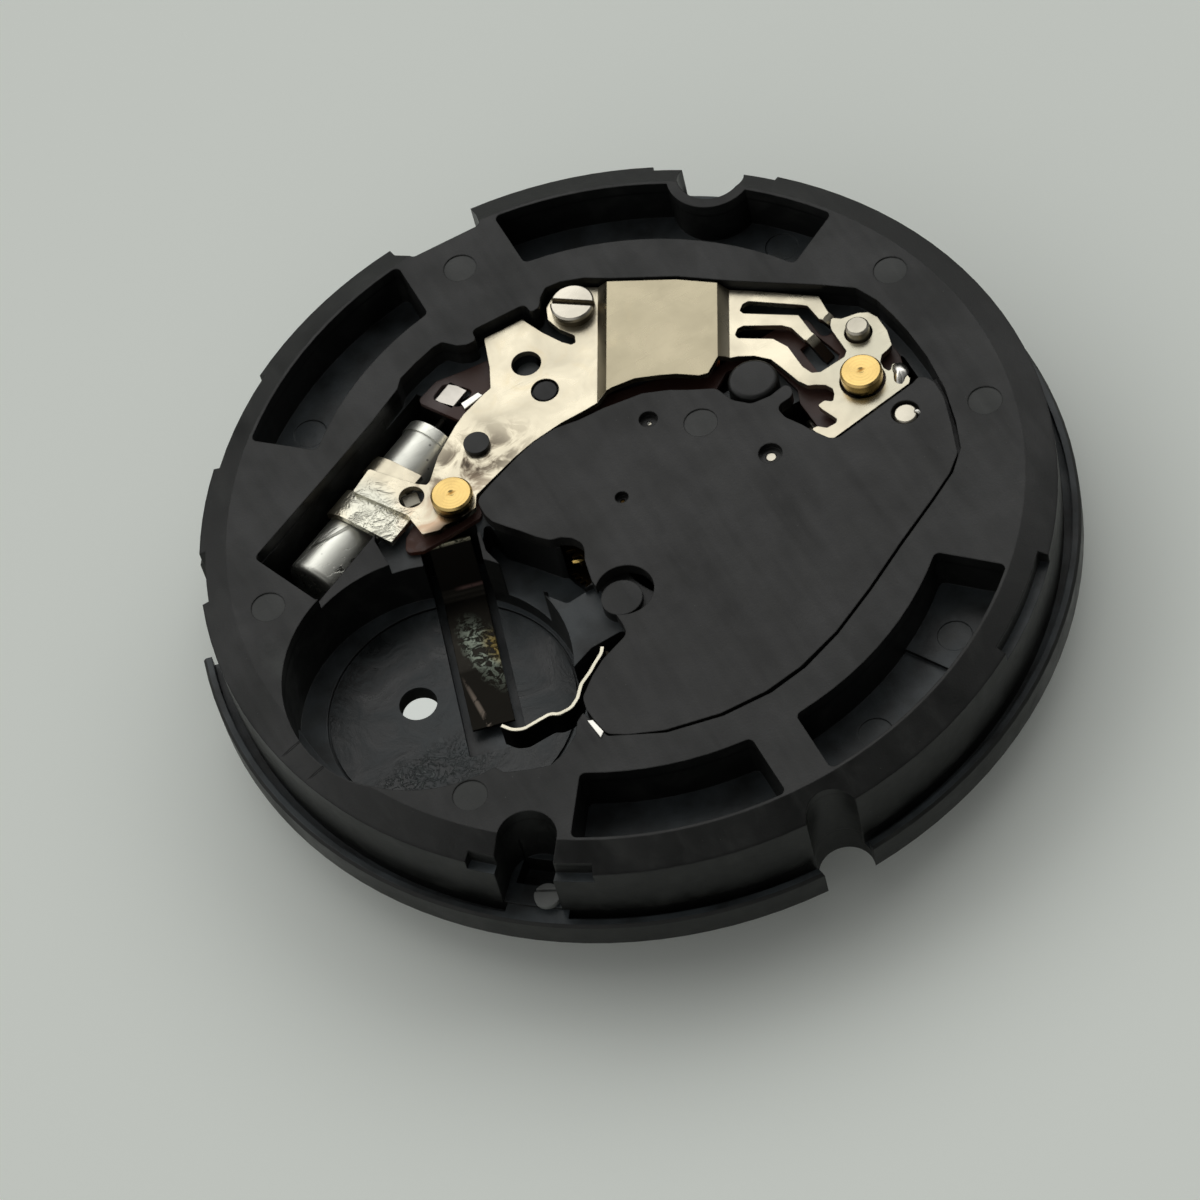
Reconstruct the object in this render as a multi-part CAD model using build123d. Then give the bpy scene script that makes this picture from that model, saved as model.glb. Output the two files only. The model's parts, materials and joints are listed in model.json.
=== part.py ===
from build123d import *
import os
from math import asin, atan2, cos, degrees, hypot, pi, radians, sin, sqrt, tan

# Quartz watch movement with three hands, seen from its battery side.
# Millimetres. The origin is on the hands' axis, in the plane that the dial lies on.
# +Z points to the battery side, +X points out along the stem.
# Tables of shares are places in the plan, as parts of core_radius.

# Driving sizes of the body
core_radius = 10.0
movement_height = 3.2
rim_radius = 12.5
face_radius = 11.61
rim_bevel_drop = 0.4
rest_ring_radius = 13.0
rest_ring_height = 0.87
rest_ring_seat_height = 0.94
rest_ring_bore = 11.2
rest_ring_chamfer = 0.08
groove_inner_radius = 12.46
groove_outer_radius = 12.74
groove_floor_height = 0.45

# Heights of the levels inside, above the dial's plane
motion_ceiling = 0.62
train_floor = 1.0
board_seat = 2.3
bridge_seat = 2.75
cover_seat = 2.65
under_skin = 0.12
overrun = 1.0

# Fits
running_clearance = 0.015
wheel_end_shake = 0.03
wall_clearance = 0.08
hidden_clearance = 0.1
seat_gap = 0.01

# Arc pockets in the rim
pocket_inner_radius = 9.42
pocket_outer_radius = 11.52
pocket_floor = 1.6
pocket_corner = 0.18
pocket_trough_radius = 10.05
pocket_trough_depth = 0.15
pocket_reach = 14.0
pad_rise = 0.12
pad_angles = (-60.2, -40.0)

# Each pocket ends at an upright line, as a share of core_radius, and at an angle from +X
pocket_ends = [(-0.186, 136.5), (0.142, 30.0), (0.072, -45.3), (-0.068, -123.9)]

# Small marks that the moulding's ejectors leave
ejector_radius = 0.5
ejector_depth = 0.03

# Notches in the rim
side_notch_radius = 1.0
side_notch_wall = 0.32
arch_width = 1.7
arch_inner_radius = 10.75
arch_floor = 0.94
arch_angle = -130.0
arch_pit_floor = 0.3
arch_pit_inner_radius = 10.95
arch_pit_outer_radius = 11.8
edge_step_depth = 0.3
edge_step_floor = 2.45
front_groove_radius = 0.8
front_groove_depth = 0.59
front_groove_angle = -89.4
edge_recess_depth = 0.2
ring_gap_depth = 0.45

# Angles from +X between which the rim's edge or the ring is cut back
edge_step_angles = [(-57.5, -41.5), (-137.6, -130.0), (-130.0, -120.8)]
edge_recess_angles = [(41.2, 59.0), (124.5, 140.8), (154.8, 163.2)]
ring_gap_angles = (150.0, 165.3)
ring_bridge_angles = (-133.5, -125.2)
arch_pit_angles = (-133.2, -127.2)

# Battery bay
battery_radius = 3.95
battery_side_gap = 0.2
bay_floor = 0.67
bay_wall_height = 2.55
insulator_radius = 3.6
insulator_thickness = 0.1
bay_hole_radius = 0.56
channel_width = 1.75
channel_room = 1.0
channel_floor = 0.36
gap_floor = 1.2

# Crystal
can_diameter = 2.0
can_length = 6.0
can_axis_height = 1.5
can_slot_floor = 0.48
can_heading = 27.3
can_end_room = 2.0
can_rim_width = 0.35
can_rim_step = 0.05
lead_radius = 0.09
lead_spacing = 0.7
lead_length = 0.9

# Circuit board and what it carries
board_thickness = 0.15
board_hole_radius = 0.55
chip_length = 1.7
chip_width = 1.5
chip_height = 0.5
capacitor_length = 0.74
capacitor_width = 0.62

# Steel cover plate
cover_thickness = 0.2
roof_rise = 0.3
roof_slope_run = 0.32
roof_left = -0.79
roof_right = 3.14
roof_heading = -27.0
cover_corner = 0.07
long_flap_from = 1.93
long_flap_to = 2.9
long_flap_far_reach = 0.75
long_flap_near_reach = 1.72
short_flap_from = 3.6
short_flap_to = 4.28
short_flap_far_reach = 0.72
short_flap_near_reach = 1.05
finger_drop = 0.24
long_finger_drop = 0.5
screw_head_radius = 0.66
screw_head_height = 0.38
screw_shank_radius = 0.3
screw_slot_width = 0.2
screw_slot_depth = 0.2
screw_slot_heading = -38.0
screw_depth = 1.4
screw_edge = 0.05
pin_head_radius = 0.62
left_pin_head_height = 0.35
right_pin_head_height = 0.44
pin_head_lift = 0.02
pin_shaft_radius = 0.34
pin_press_depth = 0.3
pin_edge = 0.06
left_pin_hole_radius = 0.42
right_pin_hole_radius = 0.68
post_radius = 0.35
post_top = 3.2
post_hole_radius = 0.42
post_depth = 0.6
left_post_top = 2.82
low_post_top = 2.45
stake_head_radius = 0.39
stake_head_rise = 0.15
clamp_hole_radius = 0.38
tab_hole_radius = 0.45

# Black posts of the main plate that hold the bridge
key_post_radius = 0.6
key_post_top = 2.95
big_post_radius = 0.75
big_post_top = 3.05
big_post_edge = 0.16
post_gap = 0.13

# Train bridge
bridge_thickness = 0.4
bridge_corner = 0.35
keyhole_radius = 0.85
centre_window_radius = 0.2
rotor_window_radius = 0.28
setting_window_radius = 0.35
window_depth = 0.2
pivot_hole_depth = 0.2

# Gear train. Each pair of wheels shares one module.
rotor_pinion_teeth = 8
fifth_wheel_teeth = 48
fifth_module = 0.075
fifth_pinion_teeth = 8
seconds_wheel_teeth = 40
seconds_module = 0.1
seconds_pinion_teeth = 8
third_wheel_teeth = 60
third_pinion_teeth = 8
centre_wheel_teeth = 64
centre_module = 0.065
cannon_teeth = 12
minute_wheel_teeth = 36
minute_module = 0.1
minute_pinion_teeth = 10
hour_wheel_teeth = 40
setting_lower_teeth = 30
setting_upper_teeth = 24
setting_upper_module = 0.1
addendum_share = 0.9
dedendum_share = 1.2
tooth_width_share = 0.4
tip_width_share = 0.42
rotor_phase = 10.0

wheel_thickness = 0.15
pinion_overlap = 0.06
arbor_radius = 0.1
pivot_radius = 0.06
centre_wheel_height = 1.1
third_wheel_height = 1.45
fifth_wheel_height = 1.8
seconds_wheel_height = 2.2
magnet_radius = 0.55
magnet_bore = 0.14
magnet_height = 0.55
magnet_bottom = 1.15

# Hand posts and motion work
seconds_post_radius = 0.1
seconds_shaft_radius = 0.11
seconds_post_end = 1.75
seconds_post_length = 0.35
minute_post_radius = 0.35
minute_post_length = 0.4
post_taper = 0.6
cannon_radius = 0.38
cannon_end = 1.35
centre_tube_radius = 0.24
centre_tube_bore = 0.13
centre_tube_end = 0.35
centre_collar_radius = 0.42
floor_bore_radius = 0.3
hour_post_radius = 0.6
hour_hub_radius = 0.78
hour_post_end = 0.9
hour_wheel_height = 0.17
hour_tube_top = 0.34
minute_wheel_height = 0.42
cannon_top = 0.6
cannon_teeth_bottom = 0.38
minute_stud_radius = 0.2
stud_press_depth = 0.2
motion_cover_thickness = 0.1
motion_cover_bottom = 0.02
motion_cover_radius = 6.9
motion_cover_hole_radius = 0.86
motion_screw_head_radius = 0.45
motion_screw_radius = 0.22
motion_screw_depth = 0.55

# Motor
stator_thickness = 0.25
stator_height = 1.4
stator_hole_radius = 0.75
stator_ring_radius = 1.15
stator_arm_width = 0.55
core_thickness = 0.3
core_width = 0.6
core_half_length = 3.8
coil_radius = 0.9
coil_half_length = 1.6
coil_heading = -27.9
coil_axis_height = 1.8
coil_bore_gap = 0.02

# Setting work
stem_axis_height = 1.5
stem_bore_radius = 0.4
clutch_radius = 0.5
clutch_length = 0.8
clutch_bore = 0.2
clutch_groove_radius = 0.3
clutch_groove_width = 0.26
clutch_start = 5.55
clutch_travel = 0.4
clutch_tooth_count = 8
clutch_tooth_depth = 0.1
clutch_tooth_width = 0.12
lever_thickness = 0.18
lever_height = 2.05
lever_eye_radius = 0.55
lever_arm_width = 0.42
lever_pin_radius = 0.36
lever_pin_foot_radius = 0.2
lever_pin_top = 3.1
lever_pin_hole_radius = 0.42
lever_press_travel = 0.25
lever_stub_radius = 0.15
lever_stub_drop = 0.3
yoke_thickness = 0.15
yoke_height = 1.6
yoke_eye_radius = 0.42
yoke_arm_width = 0.3
yoke_tip_width = 0.18
yoke_stud_radius = 0.2
yoke_stud_rise = 0.15
setting_disc_height = 1.03
setting_disc_thickness = 0.1
setting_arbor_radius = 0.14
tunnel_from = 7.15
tunnel_to = 8.45
tunnel_half_width = 0.75

# Contacts of the battery
leaf_width = 1.25
leaf_thickness = 0.1
leaf_root_top = 2.24
leaf_root_lean = 0.68
leaf_bend_height = 0.9
leaf_foot_run = 0.2
leaf_length = 4.9
leaf_crown = 0.95
leaf_root_height = 0.62
leaf_heading = -105.3
strip_thickness = 0.1
strip_height = 0.9
strip_top = 2.8
strip_anchor_radius = 0.16
strip_anchor_drop = 0.45

# Grey peg in the arched notch
peg_radius = 0.38
peg_height = 0.16
peg_ring_radius = 12.15
peg_angle = -128.3
peg_slit_width = 0.08
peg_slit_offset = 0.14
peg_slit_heading = -32.0

# Places of single features in the plan
setting_share = (0.434, -0.100)
rotor_reach_share = 0.282
fifth_angle = 0.5
third_angle = -58.0
key_post_share = (-0.155, -0.300)
keyhole_share = (-0.140, -0.295)
big_post_share = (0.518, 0.175)
lever_pin_share = (0.830, -0.188)
yoke_stud_share = (0.580, -0.270)
plate_post_share = (0.862, 0.165)
left_pin_share = (-0.415, 0.285)
right_pin_share = (0.790, 0.005)
screw_share = (0.195, 0.715)
tab_hole_share = (-0.014, 0.615)
post_hole_share = (-0.011, 0.495)
clamp_hole_share = (-0.514, 0.365)
stake_share = (-0.269, 0.425)
bay_share = (-0.740, -0.220)
insulator_share = (-0.704, -0.220)
bay_hole_share = (-0.782, -0.146)
can_end_share = (-0.882, 0.326)
coil_share = (0.375, 0.475)
capacitor_share = (-0.248, 0.667)
chip_share = (-0.150, 0.560)
leaf_root_share = (-0.498, 0.140)
side_notch_share = (0.765, 0.922)
bay_far_wall_share = 0.195
motion_flat_share = 0.45
motion_screw_shares = [(-0.50, 0.38), (-0.10, -0.60), (0.52, 0.36)]
face_mark_shares = [(1.041, 0.29), (1.041, -0.282), (-0.03, 1.024), (-1.04, 0.218), (-0.82, -0.68)]
pocket_mark_shares = [(-0.653, 0.843), (0.265, -1.012), (0.857, 0.673)]
pad_mark_share = (0.608, -0.853)
bridge_mark_share = (0.315, 0.110)

square_notch_shares = [
    (-0.176, 1.300), (-0.172, 1.200), (-0.130, 1.142), (0.094, 1.140), (0.104, 1.200), (0.105, 1.300),
]

# Outline of the hollow in the battery side, at the level of the rim's face
interior_shares = [
    (-0.405, -0.715), (-0.260, -0.795), (-0.100, -0.832), (0.050, -0.837), (0.170, -0.815),
    (0.300, -0.765), (0.450, -0.685), (0.600, -0.595), (0.750, -0.510), (0.840, -0.455),
    (0.900, -0.392), (0.935, -0.300), (0.965, -0.180), (0.978, -0.050), (0.976, 0.060),
    (0.968, 0.140), (0.955, 0.215), (0.925, 0.288), (0.840, 0.360), (0.630, 0.520),
    (0.500, 0.628), (0.330, 0.734), (0.268, 0.778), (0.200, 0.806), (0.152, 0.810),
    (0.124, 0.786), (0.104, 0.755), (0.075, 0.750), (0.073, 0.790), (-0.105, 0.790),
    (-0.107, 0.750), (-0.138, 0.751), (-0.165, 0.764), (-0.198, 0.802), (-0.230, 0.799),
    (-0.300, 0.775), (-0.362, 0.748), (-0.386, 0.718), (-0.500, 0.652), (-0.700, 0.549),
    (-1.003, 0.398), (-0.910, 0.160), (-0.672, 0.150), (-0.500, -0.100), (-0.440, -0.560),
]

# Part of that hollow where the floor is the board's seat
board_zone_shares = [
    (-0.672, 0.291), (-0.672, 0.150), (-0.352, 0.150), (-0.340, 0.235), (-0.190, 0.305),
    (-0.050, 0.335), (0.220, 0.325), (0.330, 0.262), (0.405, 0.205), (0.470, 0.120),
    (0.560, 0.110), (0.515, 0.045), (0.520, -0.100), (0.610, -0.175), (0.910, -0.105),
    (1.050, -0.100), (1.050, 0.350), (0.500, 0.850), (-0.200, 0.850), (-0.420, 0.750),
]

# Place of the front of the bay beyond its circle
bay_front_shares = [
    (-0.760, -0.560), (-0.705, -0.665), (-0.640, -0.695), (-0.585, -0.715), (-0.530, -0.698),
    (-0.480, -0.662), (-0.455, -0.625), (-0.415, -0.600), (-0.402, -0.560), (-0.340, -0.510),
    (-0.300, -0.478), (-0.190, -0.440), (-0.190, -0.375), (-0.300, -0.380), (-0.440, -0.440),
]

# Low wall between the bay and the bridge
wall_top_shares = [
    (-0.400, -0.530), (-0.330, -0.490), (-0.190, -0.440), (-0.190, -0.200), (-0.290, -0.195),
    (-0.350, -0.120), (-0.420, 0.020), (-0.480, 0.020), (-0.480, -0.500),
]

# Deep gap between the bay and the bridge
gap_shares = [
    (-0.410, 0.080), (-0.395, 0.150), (-0.360, 0.210), (-0.345, 0.130), (-0.290, 0.055),
    (-0.235, -0.025), (-0.172, -0.060), (-0.172, -0.115), (-0.200, -0.195), (-0.290, -0.205),
    (-0.345, -0.120), (-0.395, 0.000),
]

bridge_shares = [
    (-0.362, 0.225), (-0.300, 0.255), (-0.190, 0.300), (-0.130, 0.320), (-0.055, 0.330),
    (0.020, 0.318), (0.100, 0.316), (0.220, 0.300), (0.290, 0.268), (0.340, 0.235),
    (0.410, 0.195), (0.430, 0.130), (0.470, 0.088), (0.530, 0.082), (0.595, 0.098),
    (0.592, 0.047), (0.525, 0.037), (0.530, -0.010), (0.558, -0.060), (0.575, -0.100),
    (0.612, -0.163), (0.900, -0.108), (0.922, -0.097), (0.940, -0.110), (0.953, -0.140),
    (0.950, -0.200), (0.920, -0.300), (0.885, -0.400), (0.830, -0.450), (0.750, -0.498),
    (0.600, -0.582), (0.450, -0.672), (0.300, -0.752), (0.160, -0.802), (0.040, -0.822),
    (-0.100, -0.818), (-0.260, -0.782), (-0.355, -0.738), (-0.402, -0.705), (-0.411, -0.660),
    (-0.415, -0.600), (-0.406, -0.558), (-0.350, -0.508), (-0.300, -0.474), (-0.202, -0.434),
    (-0.197, -0.395), (-0.205, -0.215), (-0.190, -0.140), (-0.174, -0.105), (-0.170, -0.080),
    (-0.186, -0.050), (-0.212, -0.029), (-0.242, -0.022), (-0.272, 0.012), (-0.302, 0.057),
    (-0.333, 0.098), (-0.356, 0.132), (-0.364, 0.165),
]

# Plan of the flat parts of the cover plate
cover_shares = [
    (-0.079, 0.770), (0.048, 0.770), (0.078, 0.690), (0.111, 0.626), (0.130, 0.602),
    (0.145, 0.602), (0.154, 0.628), (0.126, 0.675), (0.113, 0.726), (0.128, 0.766),
    (0.158, 0.792), (0.205, 0.800), (0.265, 0.774), (0.310, 0.740), (0.500, 0.628),
    (0.631, 0.512), (0.828, 0.349), (0.823, 0.276), (0.790, 0.268), (0.784, 0.336),
    (0.766, 0.353), (0.646, 0.450), (0.626, 0.450), (0.608, 0.434),
    (0.611, 0.418), (0.745, 0.320), (0.748, 0.233), (0.718, 0.224), (0.706, 0.290),
    (0.686, 0.315), (0.591, 0.377), (0.571, 0.377), (0.554, 0.361), (0.556, 0.345),
    (0.641, 0.285), (0.664, 0.235), (0.666, 0.145), (0.678, 0.111), (0.701, 0.099),
    (0.786, 0.109), (0.801, 0.125), (0.801, 0.216), (0.806, 0.235), (0.821, 0.257),
    (0.844, 0.238), (0.896, 0.229), (0.922, 0.214), (0.936, 0.183), (0.936, 0.124),
    (0.922, 0.070), (0.906, 0.062), (0.880, 0.054), (0.864, 0.034), (0.862, 0.008),
    (0.872, -0.014), (0.890, 0.008), (0.906, 0.001), (0.908, -0.068), (0.896, -0.082),
    (0.622, -0.134), (0.606, -0.124), (0.587, -0.086), (0.582, -0.067), (0.601, -0.070),
    (0.621, -0.090), (0.652, -0.089), (0.661, -0.078), (0.642, -0.025), (0.637, -0.003),
    (0.661, 0.001), (0.681, -0.016), (0.697, 0.006), (0.702, 0.026), (0.691, 0.049),
    (0.666, 0.067), (0.647, 0.076), (0.631, 0.106), (0.611, 0.186), (0.601, 0.221),
    (0.566, 0.260), (0.526, 0.285), (0.491, 0.298), (0.470, 0.298), (0.416, 0.258),
    (0.390, 0.265), (0.336, 0.308), (0.296, 0.330), (0.226, 0.362), (0.156, 0.370),
    (0.050, 0.362), (-0.024, 0.360), (-0.124, 0.345), (-0.194, 0.325), (-0.349, 0.265),
    (-0.372, 0.225), (-0.440, 0.215), (-0.474, 0.220), (-0.494, 0.212), (-0.544, 0.226),
    (-0.552, 0.312), (-0.652, 0.480), (-0.577, 0.528), (-0.481, 0.400), (-0.458, 0.380),
    (-0.444, 0.386), (-0.384, 0.455), (-0.294, 0.525),
    (-0.254, 0.550), (-0.169, 0.585), (-0.144, 0.592), (-0.112, 0.664),
]

# Bent ends of the two spring fingers: the root's two corners, then the tip's
finger_end_shares = [(0.822, 0.288), (0.840, 0.258), (0.807, 0.248), (0.789, 0.278)]
long_finger_end_shares = [(0.748, 0.243), (0.775, 0.163), (0.744, 0.151), (0.718, 0.234)]

board_shares = [
    (-0.345, 0.702), (-0.262, 0.738), (-0.178, 0.727), (-0.100, 0.722), (-0.075, 0.700),
    (-0.075, 0.425), (0.130, 0.408), (0.305, 0.372), (0.440, 0.306), (0.500, 0.320),
    (0.580, 0.335), (0.720, 0.345), (0.770, 0.320), (0.776, 0.236), (0.905, 0.236), (0.935, 0.160),
    (0.935, 0.050), (0.900, -0.070), (0.612, -0.108), (0.607, 0.060), (0.624, 0.110),
    (0.605, 0.215), (0.550, 0.268), (0.480, 0.285), (0.420, 0.240), (0.390, 0.245),
    (0.330, 0.290), (0.220, 0.345), (0.140, 0.352), (-0.020, 0.350), (-0.120, 0.338),
    (-0.200, 0.318), (-0.345, 0.255), (-0.365, 0.215), (-0.560, 0.200), (-0.610, 0.222),
    (-0.585, 0.270), (-0.545, 0.300), (-0.480, 0.330), (-0.430, 0.395), (-0.250, 0.540),
]

board_window_shares = [
    (-0.306, 0.686), (-0.248, 0.718), (-0.206, 0.676), (-0.182, 0.643), (-0.246, 0.610),
]

board_slot_shares = [(0.705, 0.125), (0.760, 0.125), (0.790, 0.155), (0.765, 0.250), (0.700, 0.235)]

# Middle line of the strip that touches the battery's side
strip_shares = [
    (-0.638, -0.492), (-0.618, -0.522), (-0.590, -0.537), (-0.503, -0.532), (-0.483, -0.547),
    (-0.443, -0.547), (-0.413, -0.527), (-0.385, -0.492), (-0.343, -0.467), (-0.318, -0.448),
    (-0.288, -0.428), (-0.276, -0.410),
]

lever_arm_shares = [(0.875, 0.018), (0.880, -0.060), (0.830, -0.188)]
lever_tail_shares = [(0.830, -0.188), (0.745, -0.215), (0.675, -0.205)]
yoke_arm_shares = [(0.580, -0.270), (0.585, -0.150), (0.583, -0.090)]
yoke_tail_shares = [(0.580, -0.270), (0.655, -0.262)]
stator_left_shares = [(0.192, 0.207), (0.060, 0.330), (0.060, 0.620)]
stator_right_shares = [(0.192, 0.207), (0.400, 0.262), (0.530, 0.278), (0.690, 0.300)]
lever_cavity_shares = [
    (0.500, -0.320), (0.700, -0.340), (0.870, -0.290), (0.925, -0.180), (0.945, -0.030),
    (0.945, 0.060), (0.855, 0.080), (0.845, -0.085), (0.735, -0.085), (0.705, 0.080),
    (0.500, 0.080),
]


def spot(share):
    """Plan place of a pair of shares."""
    return core_radius * share[0], core_radius * share[1]


def ring_spot(radius, angle):
    """Plan place at a radius from the hands' axis and an angle from +X."""
    return radius * cos(radians(angle)), radius * sin(radians(angle))


def disc(place, radius, bottom, top):
    """Upright cylinder between two heights."""
    return Pos(place[0], place[1], bottom) * extrude(Circle(radius), amount=top - bottom)


def tube(place, outer, inner, bottom, top):
    """Upright tube between two heights."""
    face = Circle(outer) - Circle(inner)
    return Pos(place[0], place[1], bottom) * extrude(face, amount=top - bottom)


def slab(points, bottom, top):
    """Upright solid with a straight-sided outline."""
    face = make_face(Polyline(*points, close=True))
    return Pos(0, 0, bottom) * extrude(face, amount=top - bottom)


def corner_radius(before, corner, after, limit):
    """Largest rounding of a corner, up to a limit, that its two sides leave room for."""
    first = (corner[0] - before[0], corner[1] - before[1])
    second = (after[0] - corner[0], after[1] - corner[1])
    turn = abs(atan2(first[0] * second[1] - first[1] * second[0],
                     first[0] * second[0] + first[1] * second[1]))
    side_share = 0.45
    room = side_share * min(hypot(*first), hypot(*second))
    return min(limit, room / tan(turn / 2))


def soft_face(points, limit):
    """Face of a closed outline whose corners are rounded as far as they have room."""
    count = len(points)
    radii = [
        corner_radius(points[index - 1], points[index], points[(index + 1) % count], limit)
        for index in range(count)
    ]
    return make_face(FilletPolyline(*points, radius=radii, close=True))


def soft_slab(shares, limit, bottom, top):
    """Upright solid of a rounded outline given in shares."""
    face = soft_face([spot(share) for share in shares], limit)
    return Pos(0, 0, bottom) * extrude(face, amount=top - bottom)


def bar(start, end, width, bottom, top):
    """Flat bar with round ends between two plan places."""
    length = hypot(end[0] - start[0], end[1] - start[1])
    heading = degrees(atan2(end[1] - start[1], end[0] - start[0]))
    middle = ((start[0] + end[0]) / 2, (start[1] + end[1]) / 2)
    face = SlotCenterToCenter(length, width)
    place = Pos(middle[0], middle[1], bottom) * Rot(0, 0, heading)
    return place * extrude(face, amount=top - bottom)


def bent_bar(shares, width, bottom, top):
    """Flat bar with round corners along a line of shares."""
    places = [spot(share) for share in shares]
    pieces = [bar(a, b, width, bottom, top) for a, b in zip(places, places[1:])]
    return pieces[0].fuse(*pieces[1:]).clean() if len(pieces) > 1 else pieces[0]


def pitch_radius(teeth, module):
    return teeth * module / 2


def gear_face(teeth, module, phase):
    """Plan of a toothed wheel. One tooth points along the phase angle, in degrees."""
    pitch = pitch_radius(teeth, module)
    root = pitch - dedendum_share * module
    tip = pitch + addendum_share * module
    half_pitch = pi / teeth
    half_tooth = half_pitch * tooth_width_share * 2
    points = []
    for index in range(teeth):
        middle = radians(phase) + 2 * half_pitch * index
        flank = half_tooth / 2
        crest = flank * tip_width_share
        foot = flank + (half_pitch - flank) / 2
        for radius, angle in ((root, -foot), (pitch, -flank), (tip, -crest),
                              (tip, crest), (pitch, flank), (root, foot)):
            points.append((radius * cos(middle + angle), radius * sin(middle + angle)))
    return make_face(Polyline(*points, close=True))


def gear(place, teeth, module, phase, bottom, top):
    """Toothed wheel between two heights."""
    face = gear_face(teeth, module, phase)
    return Pos(place[0], place[1], bottom) * extrude(face, amount=top - bottom)


def wheel_disc(place, teeth, module, phase, bottom):
    """Toothed wheel of the common thickness."""
    return gear(place, teeth, module, phase, bottom, bottom + wheel_thickness)


def long_pinion(place, teeth, module, phase, wheel_bottom):
    """Pinion that stands over both faces of the wheel it drives."""
    top = wheel_bottom + wheel_thickness + pinion_overlap
    return gear(place, teeth, module, phase, wheel_bottom - pinion_overlap, top)


def mesh_phase(place, phase, teeth, next_place, next_teeth):
    """Phase of a wheel whose gap faces the first wheel's tooth on their line of centres."""
    line = degrees(atan2(next_place[1] - place[1], next_place[0] - place[0]))
    turned = (line - phase) * teeth / 360
    return line + 180 - (0.5 - turned) * 360 / next_teeth


def gear_distance(teeth, next_teeth, module):
    return pitch_radius(teeth, module) + pitch_radius(next_teeth, module)


# Places of the wheels. The seconds wheel, the centre wheel and the hour wheel share the middle.
middle = (0, 0)
rotor_distance = gear_distance(rotor_pinion_teeth, fifth_wheel_teeth, fifth_module)
fifth_distance = gear_distance(fifth_pinion_teeth, seconds_wheel_teeth, seconds_module)
third_distance = gear_distance(third_pinion_teeth, centre_wheel_teeth, centre_module)
third_module = 2 * third_distance / (third_wheel_teeth + seconds_pinion_teeth)
minute_distance = gear_distance(cannon_teeth, minute_wheel_teeth, minute_module)
hour_module = 2 * minute_distance / (minute_pinion_teeth + hour_wheel_teeth)
setting_distance = gear_distance(setting_lower_teeth, minute_wheel_teeth, minute_module)

fifth_place = ring_spot(fifth_distance, fifth_angle)
third_place = ring_spot(third_distance, third_angle)
setting_place = spot(setting_share)


def rotor_spot():
    """The rotor stands above the fifth wheel, at their distance of centres."""
    reach = core_radius * rotor_reach_share
    along = (reach**2 + fifth_distance**2 - rotor_distance**2) / (2 * reach * fifth_distance)
    return ring_spot(reach, fifth_angle + degrees(acos_of(along)))


def acos_of(value):
    return pi / 2 - asin(value)


def minute_spot():
    """The minute wheel meshes with the cannon pinion and with the setting wheel."""
    reach = hypot(*setting_place)
    along = (reach**2 + minute_distance**2 - setting_distance**2) / (2 * reach * minute_distance)
    heading = degrees(atan2(setting_place[1], setting_place[0]))
    return ring_spot(minute_distance, heading + degrees(acos_of(along)))


rotor_place = rotor_spot()
minute_place = minute_spot()

# Phases that put each pair of wheels in mesh at rest
fifth_phase = mesh_phase(rotor_place, rotor_phase, rotor_pinion_teeth, fifth_place, fifth_wheel_teeth)
seconds_phase = mesh_phase(fifth_place, fifth_phase, fifth_pinion_teeth, middle, seconds_wheel_teeth)
third_phase = mesh_phase(middle, seconds_phase, seconds_pinion_teeth, third_place, third_wheel_teeth)
centre_phase = mesh_phase(third_place, third_phase, third_pinion_teeth, middle, centre_wheel_teeth)
minute_phase = mesh_phase(middle, centre_phase, cannon_teeth, minute_place, minute_wheel_teeth)
hour_phase = mesh_phase(minute_place, minute_phase, minute_pinion_teeth, middle, hour_wheel_teeth)
setting_phase = mesh_phase(minute_place, minute_phase, minute_wheel_teeth, setting_place,
                           setting_lower_teeth)

bridge_top = bridge_seat + bridge_thickness
cover_top = cover_seat + cover_thickness
rim_edge_height = movement_height - rim_bevel_drop
pivot_bottom = train_floor - pivot_hole_depth + wheel_end_shake
pivot_top = bridge_seat + pivot_hole_depth - wheel_end_shake
arbor_bottom = train_floor + wheel_end_shake
arbor_top = bridge_seat - wheel_end_shake


def wheel_reach(teeth, module):
    """Radius over the tips of a wheel's teeth."""
    return pitch_radius(teeth, module) + addendum_share * module


def arbor(place, radius):
    """Shaft between the floor and the bridge, with a thin pivot at each end."""
    shaft = disc(place, radius, arbor_bottom, arbor_top)
    return shaft + disc(place, pivot_radius, pivot_bottom, pivot_top)


# Main plate

def rim_blank():
    """Turned blank of the main plate: the rim with its bevel over the spigot."""
    profile = [
        (0, under_skin), (rest_ring_bore, under_skin), (rest_ring_bore, rest_ring_seat_height),
        (rim_radius, rest_ring_seat_height), (rim_radius, rim_edge_height),
        (face_radius, movement_height), (0, movement_height),
    ]
    face = make_face(Polyline(*[(x, 0, z) for x, z in profile], close=True))
    return revolve(face, Axis.Z)


def pocket(wedge, floor):
    """Arc pocket: a ring's sector cut by a wedge of plan places."""
    ring = Circle(pocket_outer_radius) - Circle(pocket_inner_radius)
    sector = ring & make_face(Polyline(*wedge, close=True))
    sector = fillet(sector.vertices(), pocket_corner)
    return Pos(0, 0, floor) * extrude(sector, amount=movement_height + overrun - floor)


def pocket_wedge(straight_x, angle):
    """Wedge between an upright line and a line from the hands' axis."""
    side = pocket_reach if sin(radians(angle)) > 0 else -pocket_reach
    near = ring_spot(pocket_inner_radius - overrun, angle)
    far = ring_spot(pocket_reach, angle)
    inner_y = near[1]
    return [(straight_x, inner_y), (straight_x, side), (far[0], side), far, near]


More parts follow.
